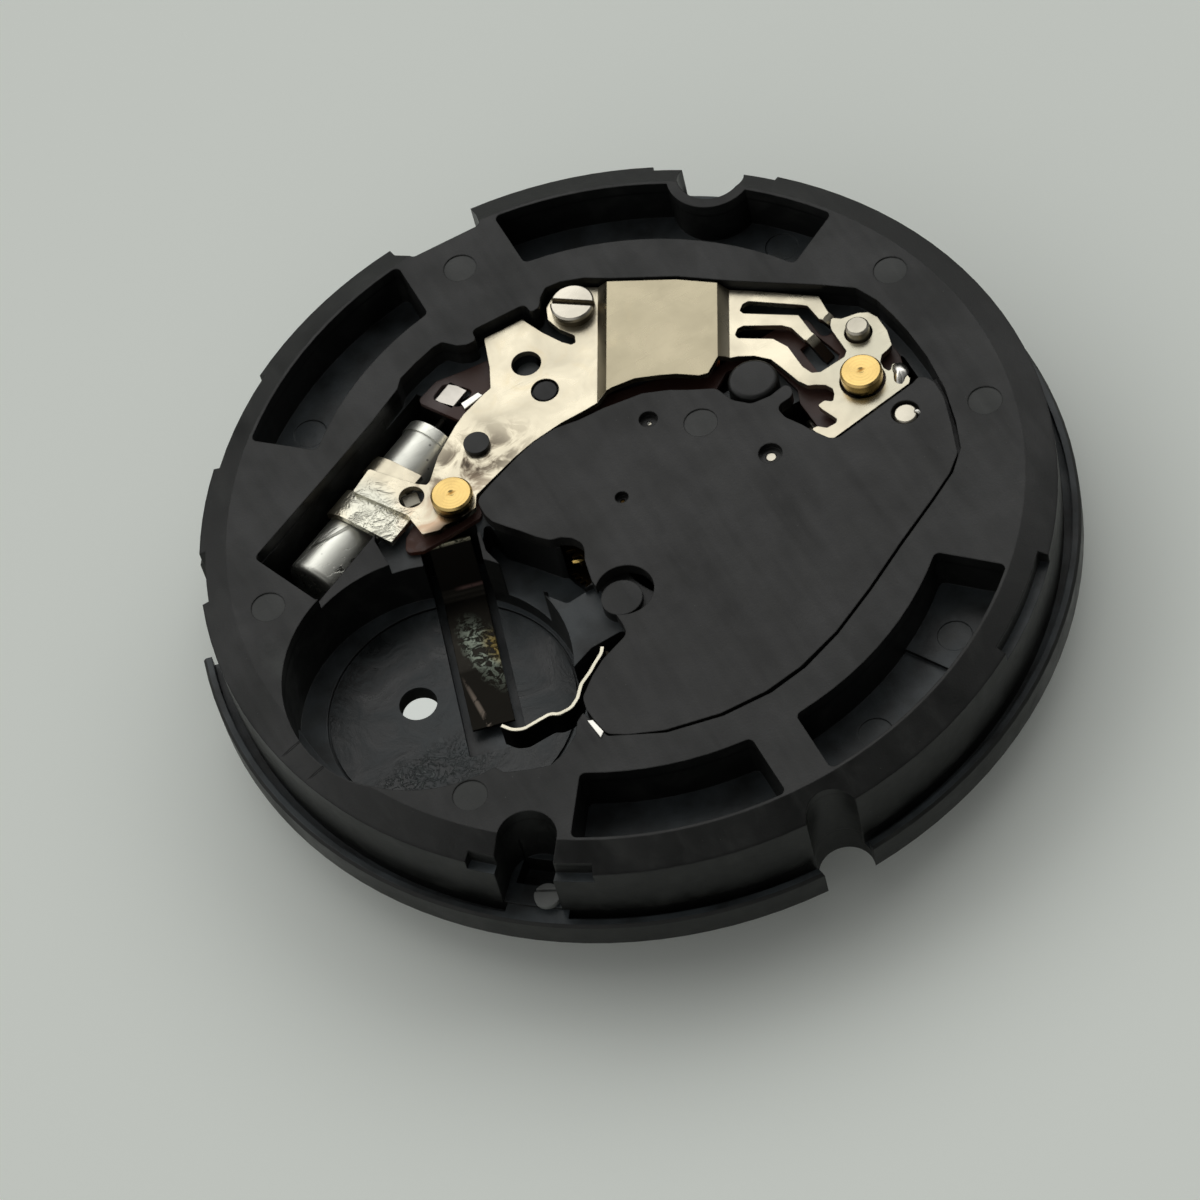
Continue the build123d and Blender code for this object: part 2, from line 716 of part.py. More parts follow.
def pockets():
    """The four arc pockets. The side notch keeps a wall of its own in the second one."""
    walls = [pocket_wedge(core_radius * share, angle) for share, angle in pocket_ends]
    left_top, right_top, right_bottom, left_bottom = [pocket(wedge, pocket_floor) for wedge in walls]
    notch_wall = side_notch_radius + side_notch_wall
    right_top -= disc(spot(side_notch_share), notch_wall, 0, movement_height + 2 * overrun)
    return [left_top, right_top, right_bottom, left_bottom]


def pocket_trough():
    """Lower strip along the inner side of the top left pocket."""
    straight_share, angle = pocket_ends[0]
    wedge = pocket_wedge(core_radius * straight_share, angle)
    strip = pocket(wedge, pocket_floor - pocket_trough_depth)
    inside = disc(middle, pocket_trough_radius, 0, movement_height + 2 * overrun)
    return strip & inside


def pocket_pad():
    """Raised end of the bottom right pocket's floor."""
    room = hidden_clearance
    return ring_sector(pocket_outer_radius + room, pocket_inner_radius - room, *pad_angles,
                       pocket_floor - room, pocket_floor + pad_rise)


def rim_notches():
    """Cuts through the rim's edge, down to the dial's ring."""
    top = movement_height + overrun
    cuts = [soft_slab(square_notch_shares, pocket_corner, rest_ring_seat_height, top)]
    cuts.append(disc(spot(side_notch_share), side_notch_radius, rest_ring_seat_height, top))
    arch_middle = ring_spot(arch_inner_radius + arch_width / 2, arch_angle)
    arch_mouth = ring_spot(rim_radius + overrun, arch_angle)
    cuts.append(bar(arch_middle, arch_mouth, arch_width, arch_floor, top))
    return cuts + [front_groove(), arch_pit()]


def front_groove():
    """Round groove down the rim's front, also through the dial's ring."""
    place = ring_spot(rim_radius - front_groove_depth + front_groove_radius, front_groove_angle)
    return disc(place, front_groove_radius, -overrun, movement_height + overrun)


def arch_pit():
    """Deep pit in the arched notch's floor."""
    return ring_sector(arch_pit_outer_radius, arch_pit_inner_radius, *arch_pit_angles,
                       arch_pit_floor, rest_ring_seat_height + overrun)


def ring_sector(outer, inner, from_angle, to_angle, bottom, top):
    """Part of an upright ring between two angles."""
    middle_angle = (from_angle + to_angle) / 2
    wedge = [(0, 0)] + [ring_spot(pocket_reach, angle) for angle in (from_angle, middle_angle, to_angle)]
    ring = tube(middle, outer, inner, bottom, top)
    return ring & slab(wedge, bottom, top)


def rim_side_cuts():
    """Steps in the rim's outer edge, and stretches where the whole edge is set back."""
    outer = rim_radius + overrun
    top = movement_height + overrun
    cuts = []
    for start, end in edge_step_angles:
        cuts.append(ring_sector(outer, rim_radius - edge_step_depth, start, end, edge_step_floor, top))
    for start, end in edge_recess_angles:
        cuts.append(ring_sector(outer, rim_radius - edge_recess_depth, start, end,
                                rest_ring_seat_height, top))
    return cuts


def bay_cut():
    """Battery bay: a circle with a straight far side, and its opening at the front."""
    top = movement_height + overrun
    bay_radius = battery_radius + battery_side_gap
    circle = disc(spot(bay_share), bay_radius, bay_floor, top)
    far = core_radius * bay_far_wall_share
    limit = slab([(-pocket_reach, -pocket_reach), (0, -pocket_reach), (0, far), (-pocket_reach, far)],
                 0, top)
    front = soft_slab(bay_front_shares, pocket_corner, bay_floor, top)
    return (circle & limit) + front


def leaf_frame():
    """Frame at the leaf's root: its X axis runs along the leaf."""
    root = spot(leaf_root_share)
    return Pos(root[0], root[1], 0) * Rot(0, 0, leaf_heading)


def channel_cut():
    """Channel under the leaf, and its way up the bay's far wall."""
    length = channel_room + leaf_length + channel_width / 2
    face = Pos(length / 2 - channel_room, 0) * Rectangle(length, channel_width)
    return leaf_frame() * Pos(0, 0, channel_floor) * extrude(face, amount=movement_height - channel_floor)


def can_frame():
    """Frame at the crystal's closed end, with X along the can."""
    end = spot(can_end_share)
    return Pos(end[0], end[1], can_axis_height) * Rot(0, 0, can_heading)


def crystal_slot():
    """Slot for the crystal. It has room past the closed end, up to the hollow's own wall."""
    length = can_length + lead_length
    face = Rectangle(length + can_end_room, can_diameter + 3 * hidden_clearance)
    face = Pos((length - can_end_room) / 2 - hidden_clearance, 0) * face
    depth = can_axis_height - can_slot_floor
    slot = can_frame() * Pos(0, 0, -depth) * extrude(face, amount=movement_height)
    return slot & soft_slab(interior_shares, pocket_corner, 0, movement_height + overrun)


def coil_frame():
    place = spot(coil_share)
    return Pos(place[0], place[1], coil_axis_height) * Rot(0, 0, coil_heading)


def motor_cuts():
    """Room for the coil, its core and the stator."""
    room = coil_radius + hidden_clearance
    deep = coil_frame() * Pos(0, 0, -room) * extrude(
        Rectangle(2 * (coil_half_length + hidden_clearance), 2 * room), amount=movement_height)
    flat = coil_frame() * Pos(0, 0, stator_height - coil_axis_height) * extrude(
        Rectangle(2 * (core_half_length + hidden_clearance), core_width + 2 * hidden_clearance),
        amount=movement_height)
    width = stator_arm_width + 2 * hidden_clearance
    left = bent_bar(stator_left_shares, width, stator_height, movement_height)
    right = bent_bar(stator_right_shares, width, stator_height, movement_height)
    ring = disc(rotor_place, stator_ring_radius + hidden_clearance, stator_height, movement_height)
    return [deep, flat, left, right, ring]


def train_cuts():
    """Rooms for the wheels between the floor and the bridge."""
    rooms = [
        (middle, wheel_reach(centre_wheel_teeth, centre_module), train_floor),
        (fifth_place, wheel_reach(fifth_wheel_teeth, fifth_module), train_floor),
        (third_place, wheel_reach(third_wheel_teeth, third_module), train_floor),
        (rotor_place, magnet_radius + hidden_clearance, train_floor),
        (setting_place, wheel_reach(setting_upper_teeth, setting_upper_module), train_floor),
    ]
    cuts = []
    for place, radius, floor in rooms:
        cuts.append(disc(place, radius + hidden_clearance, floor, movement_height))
    cuts.append(disc(middle, floor_bore_radius, 0, movement_height))
    cuts.append(disc(setting_place, setting_arbor_radius + running_clearance, 0, movement_height))
    for place in (fifth_place, third_place, rotor_place):
        hole_floor = train_floor - pivot_hole_depth
        cuts.append(disc(place, pivot_radius + running_clearance, hole_floor, movement_height))
    return cuts


def motion_cuts():
    """Hollow on the dial side for the motion work."""
    wheels = [
        (middle, wheel_reach(hour_wheel_teeth, hour_module)),
        (minute_place, wheel_reach(minute_wheel_teeth, minute_module)),
        (setting_place, wheel_reach(setting_lower_teeth, minute_module)),
    ]
    cuts = [disc(place, radius + hidden_clearance, 0, motion_ceiling) for place, radius in wheels]
    cuts.append(disc(minute_place, minute_stud_radius, 0, motion_ceiling + stud_press_depth))
    for share in motion_screw_shares:
        cuts.append(disc(spot(share), motion_screw_radius, 0, motion_screw_depth + hidden_clearance))
        cuts.append(countersunk(share, running_clearance))
    return cuts


def stem_tube(start, end, radius):
    """Cylinder along the stem's axis."""
    return Pos(start, 0, stem_axis_height) * Rot(0, 90, 0) * extrude(Circle(radius), amount=end - start)


def setting_cuts():
    """Room for the clutch, the lever and the yoke."""
    cavity = soft_slab(lever_cavity_shares, pocket_corner, train_floor, movement_height)
    clutch_room = clutch_radius + hidden_clearance
    room_from = clutch_start - clutch_travel - hidden_clearance
    room_to = clutch_start + clutch_length + hidden_clearance
    well = slab([(room_from, -clutch_room), (room_to, -clutch_room),
                 (room_to, clutch_room), (room_from, clutch_room)],
                stem_axis_height - clutch_room, movement_height)
    pin_hole = disc(spot(lever_pin_share), lever_pin_foot_radius + running_clearance,
                    motion_ceiling - stud_press_depth, movement_height)
    return [cavity, well, pin_hole]


def main_plate():
    """Black moulded body that carries everything else."""
    top = movement_height + overrun
    body = rim_blank()
    interior = soft_slab(interior_shares, pocket_corner, bridge_seat, top)
    zone = slab([spot(share) for share in board_zone_shares], board_seat, top)
    body -= interior
    body -= zone & soft_slab(interior_shares, pocket_corner, board_seat, top)
    for cut in pockets():
        body -= cut
    body -= pocket_trough()
    body += pocket_pad()
    for cut in rim_notches() + rim_side_cuts():
        body -= cut
    body -= bay_cut()
    body -= soft_slab(wall_top_shares, pocket_corner, bay_wall_height, top)
    body -= soft_slab(gap_shares, pocket_corner, gap_floor, top)
    body -= channel_cut()
    insulator_place = spot(insulator_share)
    recess_floor = bay_floor - insulator_thickness
    body -= disc(insulator_place, insulator_radius + wall_clearance, recess_floor, bay_floor)
    body -= disc(spot(bay_hole_share), bay_hole_radius, -overrun, bay_floor)
    body -= crystal_slot()
    for cut in motor_cuts() + train_cuts() + motion_cuts():
        body -= cut
    for cut in setting_cuts():
        body -= cut
    body += stem_tunnel()
    body -= stem_tube(tunnel_from - overrun, rim_radius + overrun, stem_bore_radius)
    body -= disc(spot(right_pin_share), pin_shaft_radius, board_seat - pin_press_depth, movement_height)
    body -= disc(spot(left_pin_share), pin_shaft_radius, board_seat - 2 * pin_press_depth, movement_height)
    body -= disc(spot(screw_share), screw_shank_radius, cover_seat - screw_depth, movement_height)
    body -= disc(spot(plate_post_share), post_radius, board_seat - post_depth, movement_height)
    body -= disc(spot(yoke_stud_share), yoke_stud_radius, train_floor - stud_press_depth, movement_height)
    body -= chip_room()
    for share in face_mark_shares:
        body -= disc(spot(share), ejector_radius, movement_height - ejector_depth, top)
    for share in pocket_mark_shares:
        body -= disc(spot(share), ejector_radius, pocket_floor - ejector_depth, pocket_floor)
    pad_top = pocket_floor + pad_rise
    body -= disc(spot(pad_mark_share), ejector_radius, pad_top - ejector_depth, pad_top)
    for post in plate_posts():
        body += post
    return body


def stem_tunnel():
    """Block that the stem runs through, under the right-hand pin."""
    points = [(tunnel_from, -tunnel_half_width), (tunnel_to, -tunnel_half_width),
              (tunnel_to, tunnel_half_width), (tunnel_from, tunnel_half_width)]
    return slab(points, train_floor, board_seat)


def top_edge(solid):
    """The highest round edge of an upright solid."""
    return solid.edges().filter_by(GeomType.CIRCLE).sort_by(Axis.Z)[-1]


def round_top(solid, radius):
    return fillet(top_edge(solid), radius)


def plate_posts():
    """Posts that stand on the main plate and pass through the bridge, the board or the plate."""
    return [
        disc(spot(key_post_share), key_post_radius, train_floor, key_post_top),
        round_top(disc(spot(big_post_share), big_post_radius, train_floor, big_post_top), big_post_edge),
        disc(spot(tab_hole_share), post_radius, train_floor, low_post_top),
        disc(spot(post_hole_share), post_radius, train_floor, left_post_top),
        disc(spot(stake_share), post_radius - running_clearance, train_floor, cover_top + stake_head_rise),
        disc(spot(stake_share), stake_head_radius, cover_top + seat_gap, cover_top + stake_head_rise),
        disc(spot(screw_share), screw_head_radius - wall_clearance, train_floor, cover_seat)
        - disc(spot(screw_share), screw_shank_radius, cover_seat - screw_depth, movement_height),
    ]


def chip_room():
    """Room under the board for the sealed chip."""
    place = spot(chip_share)
    face = Rectangle(chip_length + 2 * hidden_clearance, chip_width + 2 * hidden_clearance)
    bottom = board_seat - chip_height - hidden_clearance
    return Pos(place[0], place[1], bottom) * extrude(face, amount=movement_height - bottom)


# Other plastic pieces

def dial_rest_ring():
    """Ring that the dial rests on, with the groove under the rim."""
    profile = [
        (rest_ring_bore, 0), (rest_ring_radius, 0),
        (rest_ring_radius, rest_ring_height - rest_ring_chamfer),
        (rest_ring_radius - rest_ring_chamfer, rest_ring_height),
        (groove_outer_radius, rest_ring_height), (groove_outer_radius, groove_floor_height),
        (groove_inner_radius, groove_floor_height), (groove_inner_radius, rest_ring_seat_height),
        (rest_ring_bore, rest_ring_seat_height),
    ]
    face = make_face(Polyline(*[(x, 0, z) for x, z in profile], close=True))
    bridged = ring_sector(groove_outer_radius + hidden_clearance, groove_inner_radius - hidden_clearance,
                          *ring_bridge_angles, groove_floor_height - hidden_clearance,
                          rest_ring_height)
    gap = ring_sector(rest_ring_radius + overrun, rest_ring_radius - ring_gap_depth, *ring_gap_angles,
                      -overrun, rest_ring_seat_height)
    return revolve(face, Axis.Z) + bridged - gap - front_groove() - arch_pit()


def train_bridge():
    """Black bridge over the wheels, held by the posts."""
    body = soft_slab(bridge_shares, bridge_corner, bridge_seat, bridge_top)
    body -= disc(spot(keyhole_share), keyhole_radius, 0, bridge_top + overrun)
    body -= disc(spot(big_post_share), big_post_radius + post_gap, 0, bridge_top + overrun)
    body -= disc(spot(lever_pin_share), lever_pin_hole_radius, 0, bridge_top + overrun)
    body -= disc(spot(yoke_stud_share), yoke_stud_radius, 0, bridge_seat + pivot_hole_depth)
    windows = [
        (middle, centre_window_radius), (rotor_place, rotor_window_radius),
        (setting_place, setting_window_radius),
    ]
    for place, radius in windows:
        body -= disc(place, radius, bridge_top - window_depth, bridge_top + overrun)
    pivots = [(middle, pivot_radius), (rotor_place, pivot_radius), (setting_place, setting_arbor_radius)]
    for place, radius in pivots:
        body -= disc(place, radius + running_clearance, 0, bridge_top)
    for place in (fifth_place, third_place):
        body -= disc(place, pivot_radius + running_clearance, 0, bridge_seat + pivot_hole_depth)
    mark = spot(bridge_mark_share)
    body -= disc(mark, ejector_radius, bridge_top - ejector_depth, bridge_top + overrun)
    return body


def battery_insulator():
    """Disc on the bay's floor, cut away for the leaf and the hole."""
    place = spot(insulator_share)
    body = disc(place, insulator_radius, bay_floor - insulator_thickness, bay_floor)
    body -= disc(spot(bay_hole_share), bay_hole_radius, 0, movement_height)
    body -= channel_cut()
    bay_radius = battery_radius + battery_side_gap - wall_clearance
    body &= disc(spot(bay_share), bay_radius, 0, movement_height)
    return largest(body)


def largest(shape):
    """The biggest solid of a shape that a cut left in several."""
    return max(shape.solids(), key=lambda solid: solid.volume)


def rim_peg():
    """Grey peg whose top is cut across."""
    place = ring_spot(peg_ring_radius, peg_angle)
    top = rest_ring_seat_height + peg_height
    slit = Pos(place[0], place[1], rest_ring_seat_height + peg_height / 2) * Rot(0, 0, peg_slit_heading) * (
        extrude(Pos(0, peg_slit_offset) * Rectangle(3 * peg_radius, peg_slit_width), amount=peg_height))
    return disc(place, peg_radius, rest_ring_seat_height, top) - slit


# Steel plate and its fasteners

def sheet(profile, thickness, heading):
    """Bent sheet: a profile of (run, height) along a heading, wide enough for any plan."""
    upper = [(run, height) for run, height in profile]
    lower = [(run, height - thickness) for run, height in reversed(profile)]
    face = make_face(Polyline(*[(run, 0, height) for run, height in upper + lower], close=True))
    body = extrude(face, amount=2 * pocket_reach, both=True, dir=(0, 1, 0))
    return Rot(0, 0, heading) * body


def cover_plate():
    """Steel plate over the coil, the board and the crystal."""
    roof_top = cover_top + roof_rise
    profile = [
        (-2 * pocket_reach, cover_top), (roof_left, cover_top),
        (roof_left + roof_slope_run, roof_top), (roof_right - roof_slope_run, roof_top),
        (roof_right, cover_top), (2 * pocket_reach, cover_top),
    ]
    plan = soft_slab(cover_shares, cover_corner, board_seat, movement_height + overrun)
    body = plan & sheet(profile, cover_thickness, roof_heading)
    body += bent_end(finger_end_shares, finger_drop)
    body += bent_end(long_finger_end_shares, long_finger_drop)
    body += clamp_flap(long_flap_from, long_flap_to, long_flap_far_reach, long_flap_near_reach)
    body += clamp_flap(short_flap_from, short_flap_to, short_flap_far_reach, short_flap_near_reach)
    inset = offset(soft_face([spot(share) for share in interior_shares], pocket_corner), -wall_clearance)
    body &= Pos(0, 0, board_seat - overrun) * extrude(inset, amount=movement_height)
    holes = [
        (tab_hole_share, tab_hole_radius), (post_hole_share, post_hole_radius),
        (clamp_hole_share, clamp_hole_radius), (stake_share, post_radius + running_clearance),
        (screw_share, screw_shank_radius + running_clearance), (left_pin_share, left_pin_hole_radius),
        (right_pin_share, right_pin_hole_radius), (plate_post_share, post_hole_radius),
    ]
    for share, radius in holes:
        body -= disc(spot(share), radius, 0, movement_height + overrun)
    return body


def bent_end(shares, drop):
    """End of a spring finger, bent down from its root to its tip."""
    corners = [spot(share) for share in shares]
    root = ((corners[0][0] + corners[3][0]) / 2, (corners[0][1] + corners[3][1]) / 2)
    tip = ((corners[1][0] + corners[2][0]) / 2, (corners[1][1] + corners[2][1]) / 2)
    heading = atan2(tip[1] - root[1], tip[0] - root[0])
    start = root[0] * cos(heading) + root[1] * sin(heading)
    reach = hypot(tip[0] - root[0], tip[1] - root[1])
    profile = [(start - reach, cover_top), (start + hidden_clearance, cover_top),
               (start + 2 * reach, cover_top - 2 * drop)]
    return slab(corners, 0, movement_height) & sheet(profile, cover_thickness, degrees(heading))


def clamp_flap(start, end, far_reach, near_reach):
    """Flap of the clamp that lies on the crystal: curved over its far side, flat on the near one."""
    inner = can_diameter / 2 + seat_gap
    outer = inner + cover_thickness
    ring = Pos(start, 0, 0) * Rot(0, 90, 0) * extrude(Circle(outer) - Circle(inner), amount=end - start)
    middle_run = (start + end) / 2
    curved = ring & Pos(middle_run, far_reach / 2, outer / 2) * Box(end - start, far_reach, outer)
    flat = Pos(middle_run, -near_reach / 2, (inner + outer) / 2) * Box(
        end - start, near_reach, cover_thickness)
    return can_frame() * (curved + flat)


def cover_screw():
    """Slotted screw that holds the plate's lobe."""
    place = spot(screw_share)
    top = cover_top + screw_head_height
    head = disc(place, screw_head_radius, cover_top, top)
    head = chamfer(top_edge(head), screw_edge)
    slot = Pos(place[0], place[1], top - screw_slot_depth) * Rot(0, 0, screw_slot_heading) * extrude(
        Rectangle(3 * screw_head_radius, screw_slot_width), amount=screw_head_height)
    shank = disc(place, screw_shank_radius, cover_seat - screw_depth, cover_top)
    return head - slot + shank


def brass_pin(share, height, depth):
    """Pin with a flat head that stands over the plate."""
    place = spot(share)
    head_bottom = cover_top + pin_head_lift
    head = disc(place, pin_head_radius, head_bottom, head_bottom + height)
    head = chamfer(top_edge(head), pin_edge)
    return head + disc(place, pin_shaft_radius, board_seat - depth, head_bottom)


def brass_pins():
    left = brass_pin(left_pin_share, left_pin_head_height, 2 * pin_press_depth)
    right = brass_pin(right_pin_share, right_pin_head_height, pin_press_depth)
    return Compound([left.solid(), right.solid()])


def plate_post():
    place = spot(plate_post_share)
    post = disc(place, post_radius, board_seat - post_depth, post_top)
    return chamfer(top_edge(post), pin_edge)


# Electronics

def crystal_can():
    """Metal can with its closed end drawn in and a raised rim at the leads."""
    radius = can_diameter / 2
    body = Rot(0, 90, 0) * extrude(Circle(radius - can_rim_step), amount=can_length)
    body = fillet(body.edges().sort_by(Axis.X)[0], 4 * can_rim_step)
    rim = Rot(0, 90, 0) * extrude(Circle(radius), amount=can_rim_width)
    return can_frame() * (body + Pos(can_length - can_rim_width, 0, 0) * rim)


def crystal_leads():
    """Two leads from the can to the board."""
    wires = []
    for side in (-1, 1):
        face = Pos(can_length, side * lead_spacing / 2, 0) * Rot(0, 90, 0) * Circle(lead_radius)
        wires.append((can_frame() * extrude(face, amount=lead_length)).solid())
    return Compound(wires)


def circuit_board():
    """Thin board under the steel plate."""
    top = board_seat + board_thickness
    body = soft_slab(board_shares, pocket_corner, board_seat, top)
    body -= soft_slab(board_window_shares, pocket_corner, board_seat - overrun, top + overrun)
    body -= slab([spot(share) for share in board_slot_shares], board_seat - overrun, top + overrun)
    holes = [
        (stake_share, post_radius + wall_clearance), (left_pin_share, pin_shaft_radius + wall_clearance),
        (right_pin_share, pin_shaft_radius + wall_clearance), (plate_post_share, post_hole_radius),
        (big_post_share, big_post_radius + post_gap), (post_hole_share, board_hole_radius),
    ]
    for share, radius in holes:
        body -= disc(spot(share), radius, board_seat - overrun, top + overrun)
    return largest(body)


def block(share, length, width, bottom, top, heading):
    place = spot(share)
    face = Rectangle(length, width)
    return Pos(place[0], place[1], bottom) * Rot(0, 0, heading) * extrude(face, amount=top - bottom)


def ic_block():
    return block(chip_share, chip_length, chip_width, board_seat - chip_height, board_seat, 0)


def chip_capacitor():
    top = board_seat + board_thickness
    return block(capacitor_share, capacitor_length, capacitor_width, board_seat, top, can_heading)


# Motor

def coil_core():
    """Soft iron strip through the coil, resting on the stator's ends."""
    bottom = stator_height + stator_thickness
    body = coil_frame() * Pos(0, 0, bottom - coil_axis_height) * extrude(
        Rectangle(2 * core_half_length, core_width), amount=core_thickness)
    return body


def coil_winding():
    """Closed outer shape of the winding, with the core's slot through it."""
    body = Rot(0, 90, 0) * extrude(Circle(coil_radius), amount=coil_half_length, both=True)
    slot = Rectangle(3 * coil_half_length, core_width + 2 * coil_bore_gap)
    bottom = stator_height + stator_thickness - coil_axis_height - coil_bore_gap
    body -= Pos(0, 0, bottom) * extrude(slot, amount=core_thickness + 2 * coil_bore_gap)
    return coil_frame() * body


def stator():
    """Plate with the rotor's hole and two arms to the core's ends."""
    top = stator_height + stator_thickness
    ring = disc(rotor_place, stator_ring_radius, stator_height, top)
    left = bent_bar(stator_left_shares, stator_arm_width, stator_height, top)
    right = bent_bar(stator_right_shares, stator_arm_width, stator_height, top)
    body = ring + left + right
    body -= disc(rotor_place, stator_hole_radius, 0, movement_height)
    return body


def rotor_magnet():
    return tube(rotor_place, magnet_radius, magnet_bore, magnet_bottom, magnet_bottom + magnet_height)


def rotor_arbor():
    """Shaft with the rotor's pinion."""
    pinion = long_pinion(rotor_place, rotor_pinion_teeth, fifth_module, rotor_phase, fifth_wheel_height)
    return pinion + arbor(rotor_place, magnet_bore)


# Going train

def fifth_wheel():
    wheel = wheel_disc(fifth_place, fifth_wheel_teeth, fifth_module, fifth_phase, fifth_wheel_height)
    pinion = long_pinion(fifth_place, fifth_pinion_teeth, seconds_module, fifth_phase, seconds_wheel_height)
    return wheel + pinion + arbor(fifth_place, arbor_radius)


def seconds_wheel():
    """Fourth wheel: its long shaft carries the seconds hand."""
    wheel = wheel_disc(middle, seconds_wheel_teeth, seconds_module, seconds_phase, seconds_wheel_height)
    pinion = long_pinion(middle, seconds_pinion_teeth, third_module, seconds_phase, third_wheel_height)
    post = hand_post(seconds_post_radius, seconds_shaft_radius, seconds_post_end, seconds_post_length)
    shaft = disc(middle, seconds_shaft_radius, taper_end(seconds_post_end, seconds_post_length), arbor_top)
    return wheel + pinion + post + shaft + disc(middle, pivot_radius, arbor_top, pivot_top)


def taper_end(end, length):
    """Height where the taper above a hand's post ends."""
    return length + post_taper - end


def hand_post(radius, shaft_radius, end, length):
    """Straight post that a hand is pressed on, and the taper from it to its shaft."""
    post = disc(middle, radius, -end, length - end)
    taper = Cone(radius, shaft_radius, post_taper, align=(Align.CENTER, Align.CENTER, Align.MIN))
    return post + Pos(0, 0, length - end) * taper


def third_wheel():
    wheel = wheel_disc(third_place, third_wheel_teeth, third_module, third_phase, third_wheel_height)
    pinion = long_pinion(third_place, third_pinion_teeth, centre_module, third_phase, centre_wheel_height)
    return wheel + pinion + arbor(third_place, arbor_radius)


def centre_wheel():
    """Wheel that turns once an hour, on a tube round the seconds shaft."""
    wheel = wheel_disc(middle, centre_wheel_teeth, centre_module, centre_phase, centre_wheel_height)
    collar = disc(middle, centre_collar_radius, train_floor + seat_gap, centre_wheel_height)
    stalk = disc(middle, centre_tube_radius, -centre_tube_end, centre_wheel_height + wheel_thickness)
    return wheel + collar + stalk - disc(middle, centre_tube_bore, -pocket_reach, movement_height)


# Motion work on the dial side

def cannon_pinion():
    """Friction-tight on the centre wheel's tube; it carries the minute hand."""
    post = hand_post(minute_post_radius, cannon_radius, cannon_end, minute_post_length)
    post += disc(middle, cannon_radius, taper_end(cannon_end, minute_post_length), cannon_top)
    teeth = gear(middle, cannon_teeth, minute_module, centre_phase, cannon_teeth_bottom, cannon_top)
    bore = disc(middle, centre_tube_radius, -centre_tube_end, cannon_top)
    throat = disc(middle, centre_tube_bore, -cannon_end, cannon_top)
    return post + teeth - bore - throat


def minute_wheel():
    wheel = wheel_disc(minute_place, minute_wheel_teeth, minute_module, minute_phase, minute_wheel_height)
    pinion = gear(minute_place, minute_pinion_teeth, hour_module, minute_phase,
                  hour_wheel_height - wheel_end_shake, minute_wheel_height)
    return wheel + pinion - disc(minute_place, minute_stud_radius + running_clearance, 0, movement_height)


def minute_wheel_stud():
    bottom = motion_cover_bottom + motion_cover_thickness + seat_gap
    return disc(minute_place, minute_stud_radius, bottom, motion_ceiling + stud_press_depth)


def hour_wheel():
    """Wheel that turns once in twelve hours; its tube carries the hour hand."""
    wheel = wheel_disc(middle, hour_wheel_teeth, hour_module, hour_phase, hour_wheel_height)
    post = disc(middle, hour_post_radius, -hour_post_end, 0)
    hub = disc(middle, hour_hub_radius, 0, hour_tube_top)
    bore = disc(middle, cannon_radius + running_clearance, -pocket_reach, movement_height)
    return wheel + post + hub - bore


def countersunk(share, bore_clearance):
    """Screw shape with a flat cone head, level with the motion cover."""
    place = spot(share)
    drop = motion_screw_head_radius - motion_screw_radius
    cone_middle = motion_cover_bottom + drop / 2
    head = Pos(place[0], place[1], cone_middle) * Cone(
        motion_screw_head_radius + bore_clearance, motion_screw_radius + bore_clearance, drop)
    return head


def motion_cover():
    """Thin plate that keeps the motion work in."""
    top = motion_cover_bottom + motion_cover_thickness
    body = disc(middle, motion_cover_radius, motion_cover_bottom, top)
    body -= disc(middle, motion_cover_hole_radius, -overrun, top + overrun)
    flat = core_radius * motion_flat_share
    half = motion_cover_radius
    body &= slab([(-half, -half), (half, -half), (half, flat), (-half, flat)], motion_cover_bottom, top)
    for share in motion_screw_shares:
        body -= countersunk(share, running_clearance)
    return body


def motion_cover_screws():
    """Three countersunk screws of one size."""
    screws = []
    for share in motion_screw_shares:
        shank = disc(spot(share), motion_screw_radius, motion_cover_bottom, motion_screw_depth)
        screws.append((countersunk(share, 0) + shank).solid())
    return Compound(screws)


# Setting work

def setting_wheel():
    """Upper disc for the clutch, lower disc in mesh with the minute wheel."""
    top = bridge_seat + pivot_hole_depth
    bottom = motion_cover_bottom + motion_cover_thickness + wheel_end_shake
    shaft = disc(setting_place, setting_arbor_radius, bottom, top)
    upper = gear(setting_place, setting_upper_teeth, setting_upper_module, setting_phase,
                 setting_disc_height, setting_disc_height + setting_disc_thickness)
    lower = wheel_disc(setting_place, setting_lower_teeth, minute_module, setting_phase,
                       minute_wheel_height)
    return shaft + upper + lower


def clutch_wheel():
    """Sleeve on the stem, with crown teeth at both ends and a groove for the yoke."""
    body = stem_tube(clutch_start, clutch_start + clutch_length, clutch_radius)
    middle_x = clutch_start + clutch_length / 2
    groove_half = clutch_groove_width / 2
    groove = stem_tube(middle_x - groove_half, middle_x + groove_half, 2 * clutch_radius)
    groove -= stem_tube(clutch_start, clutch_start + clutch_length, clutch_groove_radius)
    body -= groove
    body -= stem_tube(clutch_start - overrun, clutch_start + clutch_length + overrun, clutch_bore)
    for index in range(clutch_tooth_count // 2):
        turn = 360 / clutch_tooth_count * index
        for end in (clutch_start, clutch_start + clutch_length):
            gap = Box(2 * clutch_tooth_depth, 3 * clutch_radius, clutch_tooth_width)
            body -= Pos(end, 0, stem_axis_height) * Rot(turn, 0, 0) * gap
    return body


